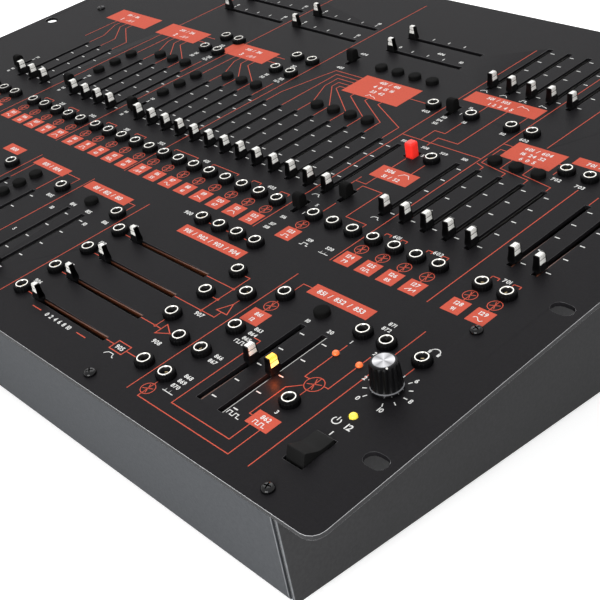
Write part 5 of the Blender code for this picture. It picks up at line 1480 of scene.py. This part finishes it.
numbers(processor, (905, 349.0, 23.5), (10, 279.6, 83.6), (100, 277.6, 66.0), (10, 280.2, 47.0),
        (906, 278.0, 30.6), (907, 358.6, 56.6), (908, 358.6, 34.6), ("0 2 4 6 8 10", 311.6, 18.8))
stretches(processor, *[[(u, 18.8), (u + 6.4, 18.8)] for u in (292.0, 325.0)], width=BRACKET)
print_ink("processor", processor)

# %% Print the sample and hold
hold = bmesh.new()
S1, S2 = STEP_LIGHTS
plate(hold, 384.0, 92.2, 417.2, 99.0)
number(hold, "851 / 852 / 853", 400.6, 95.6, TITLE)
plate(hold, 374.2, 64.4, 384.2, 73.2)
plate(hold, 422.6, 24.6, 434.0, 32.2)
numbers(hold, (861, 379.2, 70.6), (12, 379.2, 67.0), (862, 428.3, 30.0), size=2.2)
sign(hold, "square", 428.3, 26.7, 6.0, 1.7)
mixing_sign(hold, 379.0, 77.4)
mixing_sign(hold, 378.8, 14.7)
mixing_sign(hold, COMMON, 53.4, 3.9)
stretches(hold,
          [(371.6, 10.0), (371.6, 99.6)], [(441.0, 10.0), (441.0, 100.0)],
          [(384.1, 95.6), (379.0, 95.6), (379.0, 90.0)], [(379.0, 81.2), (379.0, 80.4)],
          [(379.0, 74.4), (379.0, 73.1)],
          [(S1, 76.8), (S1, 54.6), (424.8, 54.6)], [(S2, 76.8), (S2, 54.6), (432.6, 54.6)],
          [(COMMON, 49.5), (COMMON, 45.6)],
          [(425.4, 50.6), (421.0, 46.2), (421.0, 28.5), (422.8, 28.5)],
          [(425.4, 24.7), (425.4, 15.0), (392.8, 15.0), (392.8, 59.2), (389.0, 59.2)],
          [(430.8, 24.7), (430.8, 9.8), (378.8, 9.8), (378.8, 11.7)],
          [(378.8, 17.7), (378.8, 19.4)], [(POWER, 74.5), (POWER, 81.2)])
for u in run_of(HOLD, 2):
    ticks(hold, u, LOW)
numbers(hold, (10, 398.8, 79.0), (20, 411.4, 79.0), (871, 428.0, 96.0), (872, 428.0, 92.6),
        (1, S1, 79.2), (2, S2, 79.2), (3, COMMON, 34.9), (863, 387.0, 63.6), (864, 387.0, 60.4),
        (865, 387.2, 57.0), (866, 387.0, 43.0), (867, 387.0, 39.8), (868, 386.8, 28.2),
        (869, 386.8, 25.0), (870, 386.8, 21.8), size=2.0)
sign(hold, "square", 417.0, 24.6, 6.6, 1.8)
sign(hold, "square", 386.8, 54.0, 6.0, 1.7)
sign(hold, "pulse", 386.8, 18.6, 6.0, 1.7)
print_ink("hold", hold)

# %% [markdown]
# Two small orange lights show which side the electronic switch is on. Each is a domed lens that
# glows a little, in a narrow ring of black plastic that stands for the shadow gap round it, a
# painted shade.

# %% The two step lights
DOME = [(0.0, -1.0), (1.4, -1.0), (1.4, 0.35), (1.25, 0.85), (0.9, 1.2), (0.45, 1.38), (0.0, 1.42)]
# Black ring round the lens: painted shade for the gap round it.
SHADOW_GAP_RING = [(0.0, -0.6), (1.8, -0.6), (1.8, 0.08), (0.0, 0.08)]
STEP_LIGHT_ROW = 70.7
step_light = bmesh.new()
turn(step_light, DOME, 32)
turn(step_light, SHADOW_GAP_RING, 32, 1)
light_mesh = finish_mesh("step_light", step_light, orange_lens, black_plastic)
for index, u in enumerate(STEP_LIGHTS, 1):
    put(f"step_light_{index}", light_mesh, on_panel(u, STEP_LIGHT_ROW))
print("step lights at", [round(u, 1) for u in STEP_LIGHTS])

# %% [markdown]
# The knob's dial is plain: eleven strokes over 300 degrees and even numbers from 0 to 10. Beside
# it a headphone sign marks its socket, and the rocker has the usual broken ring and a bar.

# %% Print the dial and the power signs
FIRST_STROKE, STROKE_TURN = 240.0, 30.0
STROKE_FROM, STROKE_TO, DIAL_NUMBERS = 7.6, 9.3, 11.0
EAR_RADIUS = 2.1
power_print = bmesh.new()
for step in range(11):
    angle = [math.radians(FIRST_STROKE - STROKE_TURN * step)]
    stroke = on_circle(*KNOB, STROKE_FROM, angle) + on_circle(*KNOB, STROKE_TO, angle)
    strip(power_print, stroke, DIAL_INK, WHITE)
    if step % 2 == 0:
        number(power_print, step, *on_circle(*KNOB, DIAL_NUMBERS, angle)[0], 2.2)
broken_ring = [math.radians(130.0 + step * 14.0) for step in range(21)]
stretches(power_print, on_circle(POWER - 3.2, 44.4, 1.7, broken_ring),
          [(POWER - 3.2, 44.6), (POWER - 3.2, 46.6)], width=BRACKET, ink=WHITE)
number(power_print, 12, POWER + 3.0, 44.4, 3.0)
strip(power_print, [(POWER, 37.6), (POWER, 39.8)], TICK, WHITE)
headband = [math.radians(180.0 - step * 15.0) for step in range(13)]
strip(power_print, on_circle(POWER, 92.3, EAR_RADIUS, headband), DIAL_INK, WHITE)
for ear in (POWER - EAR_RADIUS, POWER + EAR_RADIUS):
    plate(power_print, ear - 0.55, 91.0, ear + 0.55, 92.7, WHITE)
print_ink("power", power_print)

# %% [markdown]
# ## The room
#
# The backdrop is white where the camera, a reflection or clear plastic sees it and dimmer for the
# light that it throws, so black paint stays black.

# %% The world
WHITE_LIGHT = (1.0, 1.0, 1.0, 1.0)
ROOM_LIGHT = 0.6
world = bpy.data.worlds.new("studio")
bpy.context.scene.world = world
world.use_nodes = True
world.node_tree.nodes.clear()
ray = add_node(world, "ShaderNodeLightPath")
seen = add_node(world, "ShaderNodeMath", operation="MAXIMUM")
also = add_node(world, "ShaderNodeMath", operation="MAXIMUM")
dim = add_node(world, "ShaderNodeBackground", Color=WHITE_LIGHT, Strength=ROOM_LIGHT)
bright = add_node(world, "ShaderNodeBackground", Color=WHITE_LIGHT)
mix = add_node(world, "ShaderNodeMixShader")
sky = add_node(world, "ShaderNodeOutputWorld")
join(world, ray, "Is Camera Ray", seen, 0)
join(world, ray, "Is Glossy Ray", seen, 1)
join(world, seen, 0, also, 0)
join(world, ray, "Is Transmission Ray", also, 1)
for source, entry in ((also, 0), (dim, 1), (bright, 2)):
    join(world, source, 0, mix, entry)
join(world, mix, 0, sky, 0)
print("room light", ROOM_LIGHT)

# %% [markdown]
# The floor is a large pale sheet with a matt finish. Where the camera looks at it directly, a
# little light of its own is added, so that it comes out near white and still holds the shadow.

# %% The floor
FLOOR_HALF = 4000.0
FLOOR_GLOW = 0.66
floor_mesh = bmesh.new()
bmesh.ops.create_grid(floor_mesh, x_segments=1, y_segments=1, size=FLOOR_HALF)
floor_white = bpy.data.materials.new("floor_white")
floor_white.use_nodes = True
surface = principled(floor_white)
surface.inputs["Base Color"].default_value = (0.85, 0.85, 0.85, 1.0)
surface.inputs["Roughness"].default_value = 0.9
surface.inputs["Specular IOR Level"].default_value = 0.1
new_object("floor", finish_mesh("floor", floor_mesh, floor_white))
ray = add_node(floor_white, "ShaderNodeLightPath")
glow = add_node(floor_white, "ShaderNodeEmission", Color=WHITE_LIGHT, Strength=FLOOR_GLOW)
both = add_node(floor_white, "ShaderNodeAddShader")
show = add_node(floor_white, "ShaderNodeMixShader")
join(floor_white, ray, "Is Camera Ray", show, 0)
for source, target, entry in ((surface, show, 1), (surface, both, 0), (glow, both, 1),
                              (both, show, 2)):
    join(floor_white, source, 0, target, entry)
join(floor_white, show, 0, floor_white.node_tree.nodes["Material Output"], 0)
print("floor glow", FLOOR_GLOW)

# %% [markdown]
# One big soft lamp hangs behind on the left, and a weaker one stands low in front for the near
# wall. Both are placed and aimed on the panel's ruler.

# %% The lamps
def soft_lamp(name, place, aim, size, power):
    """Square lamp at a place, turned towards a point, both on the panel's ruler."""
    lamp = bpy.data.lights.new(name, "AREA")
    lamp.size = size
    lamp.energy = power
    made = new_object(name, lamp)
    start, end = PANEL @ (Vector(place) * MM), PANEL @ (Vector(aim) * MM)
    made.location = start
    made.visible_camera = False
    made.rotation_euler = (end - start).to_track_quat("-Z", "Y").to_euler()
    print(name, "at", [round(value, 2) for value in start])


PANEL_MIDDLE = (PANEL_WIDTH / 2, PANEL_LENGTH / 2, 0.0)
NEAR_CORNER = (PANEL_WIDTH, 0.0, -20.0)
soft_lamp("key_lamp", (-500.0, 900.0, 1300.0), PANEL_MIDDLE, 1.9, 19.0)
soft_lamp("front_lamp", (720.0, -660.0, 230.0), NEAR_CORNER, 0.55, 6.4)

# %% [markdown]
# ## The camera
#
# The picture was taken from low on the right, close to the near corner, so parallel edges run
# together strongly. The camera's place was worked out from the panel's known size, and is given
# on the panel's ruler with the point that it looks at.

# %% Set up the camera
CAMERA_PLACE = (686.9, -144.4, 262.0)
CAMERA_AIM = (385.9, 86.9, 0.0)
CAMERA_ROLL = Quaternion((0, 0, 1), -math.radians(2.845))
FOCAL_LENGTH, SENSOR = 69.40, 36.0
lens_data = bpy.data.cameras.new("camera")
lens_data.lens = FOCAL_LENGTH
lens_data.sensor_width = SENSOR
lens_data.clip_start = 0.01
camera = new_object("camera", lens_data)
bpy.context.scene.camera = camera
eye, aim = PANEL @ (Vector(CAMERA_PLACE) * MM), PANEL @ (Vector(CAMERA_AIM) * MM)
camera.location = eye
camera.rotation_mode = "QUATERNION"
camera.rotation_quaternion = (aim - eye).to_track_quat("-Z", "Y") @ CAMERA_ROLL
print("camera", [round(value, 3) for value in eye])

# %% [markdown]
# The colours have to come out as written, so the view transform is the plain one.

# %% Set the view transform
bpy.context.scene.view_settings.view_transform = "Standard"
bpy.context.view_layer.update()
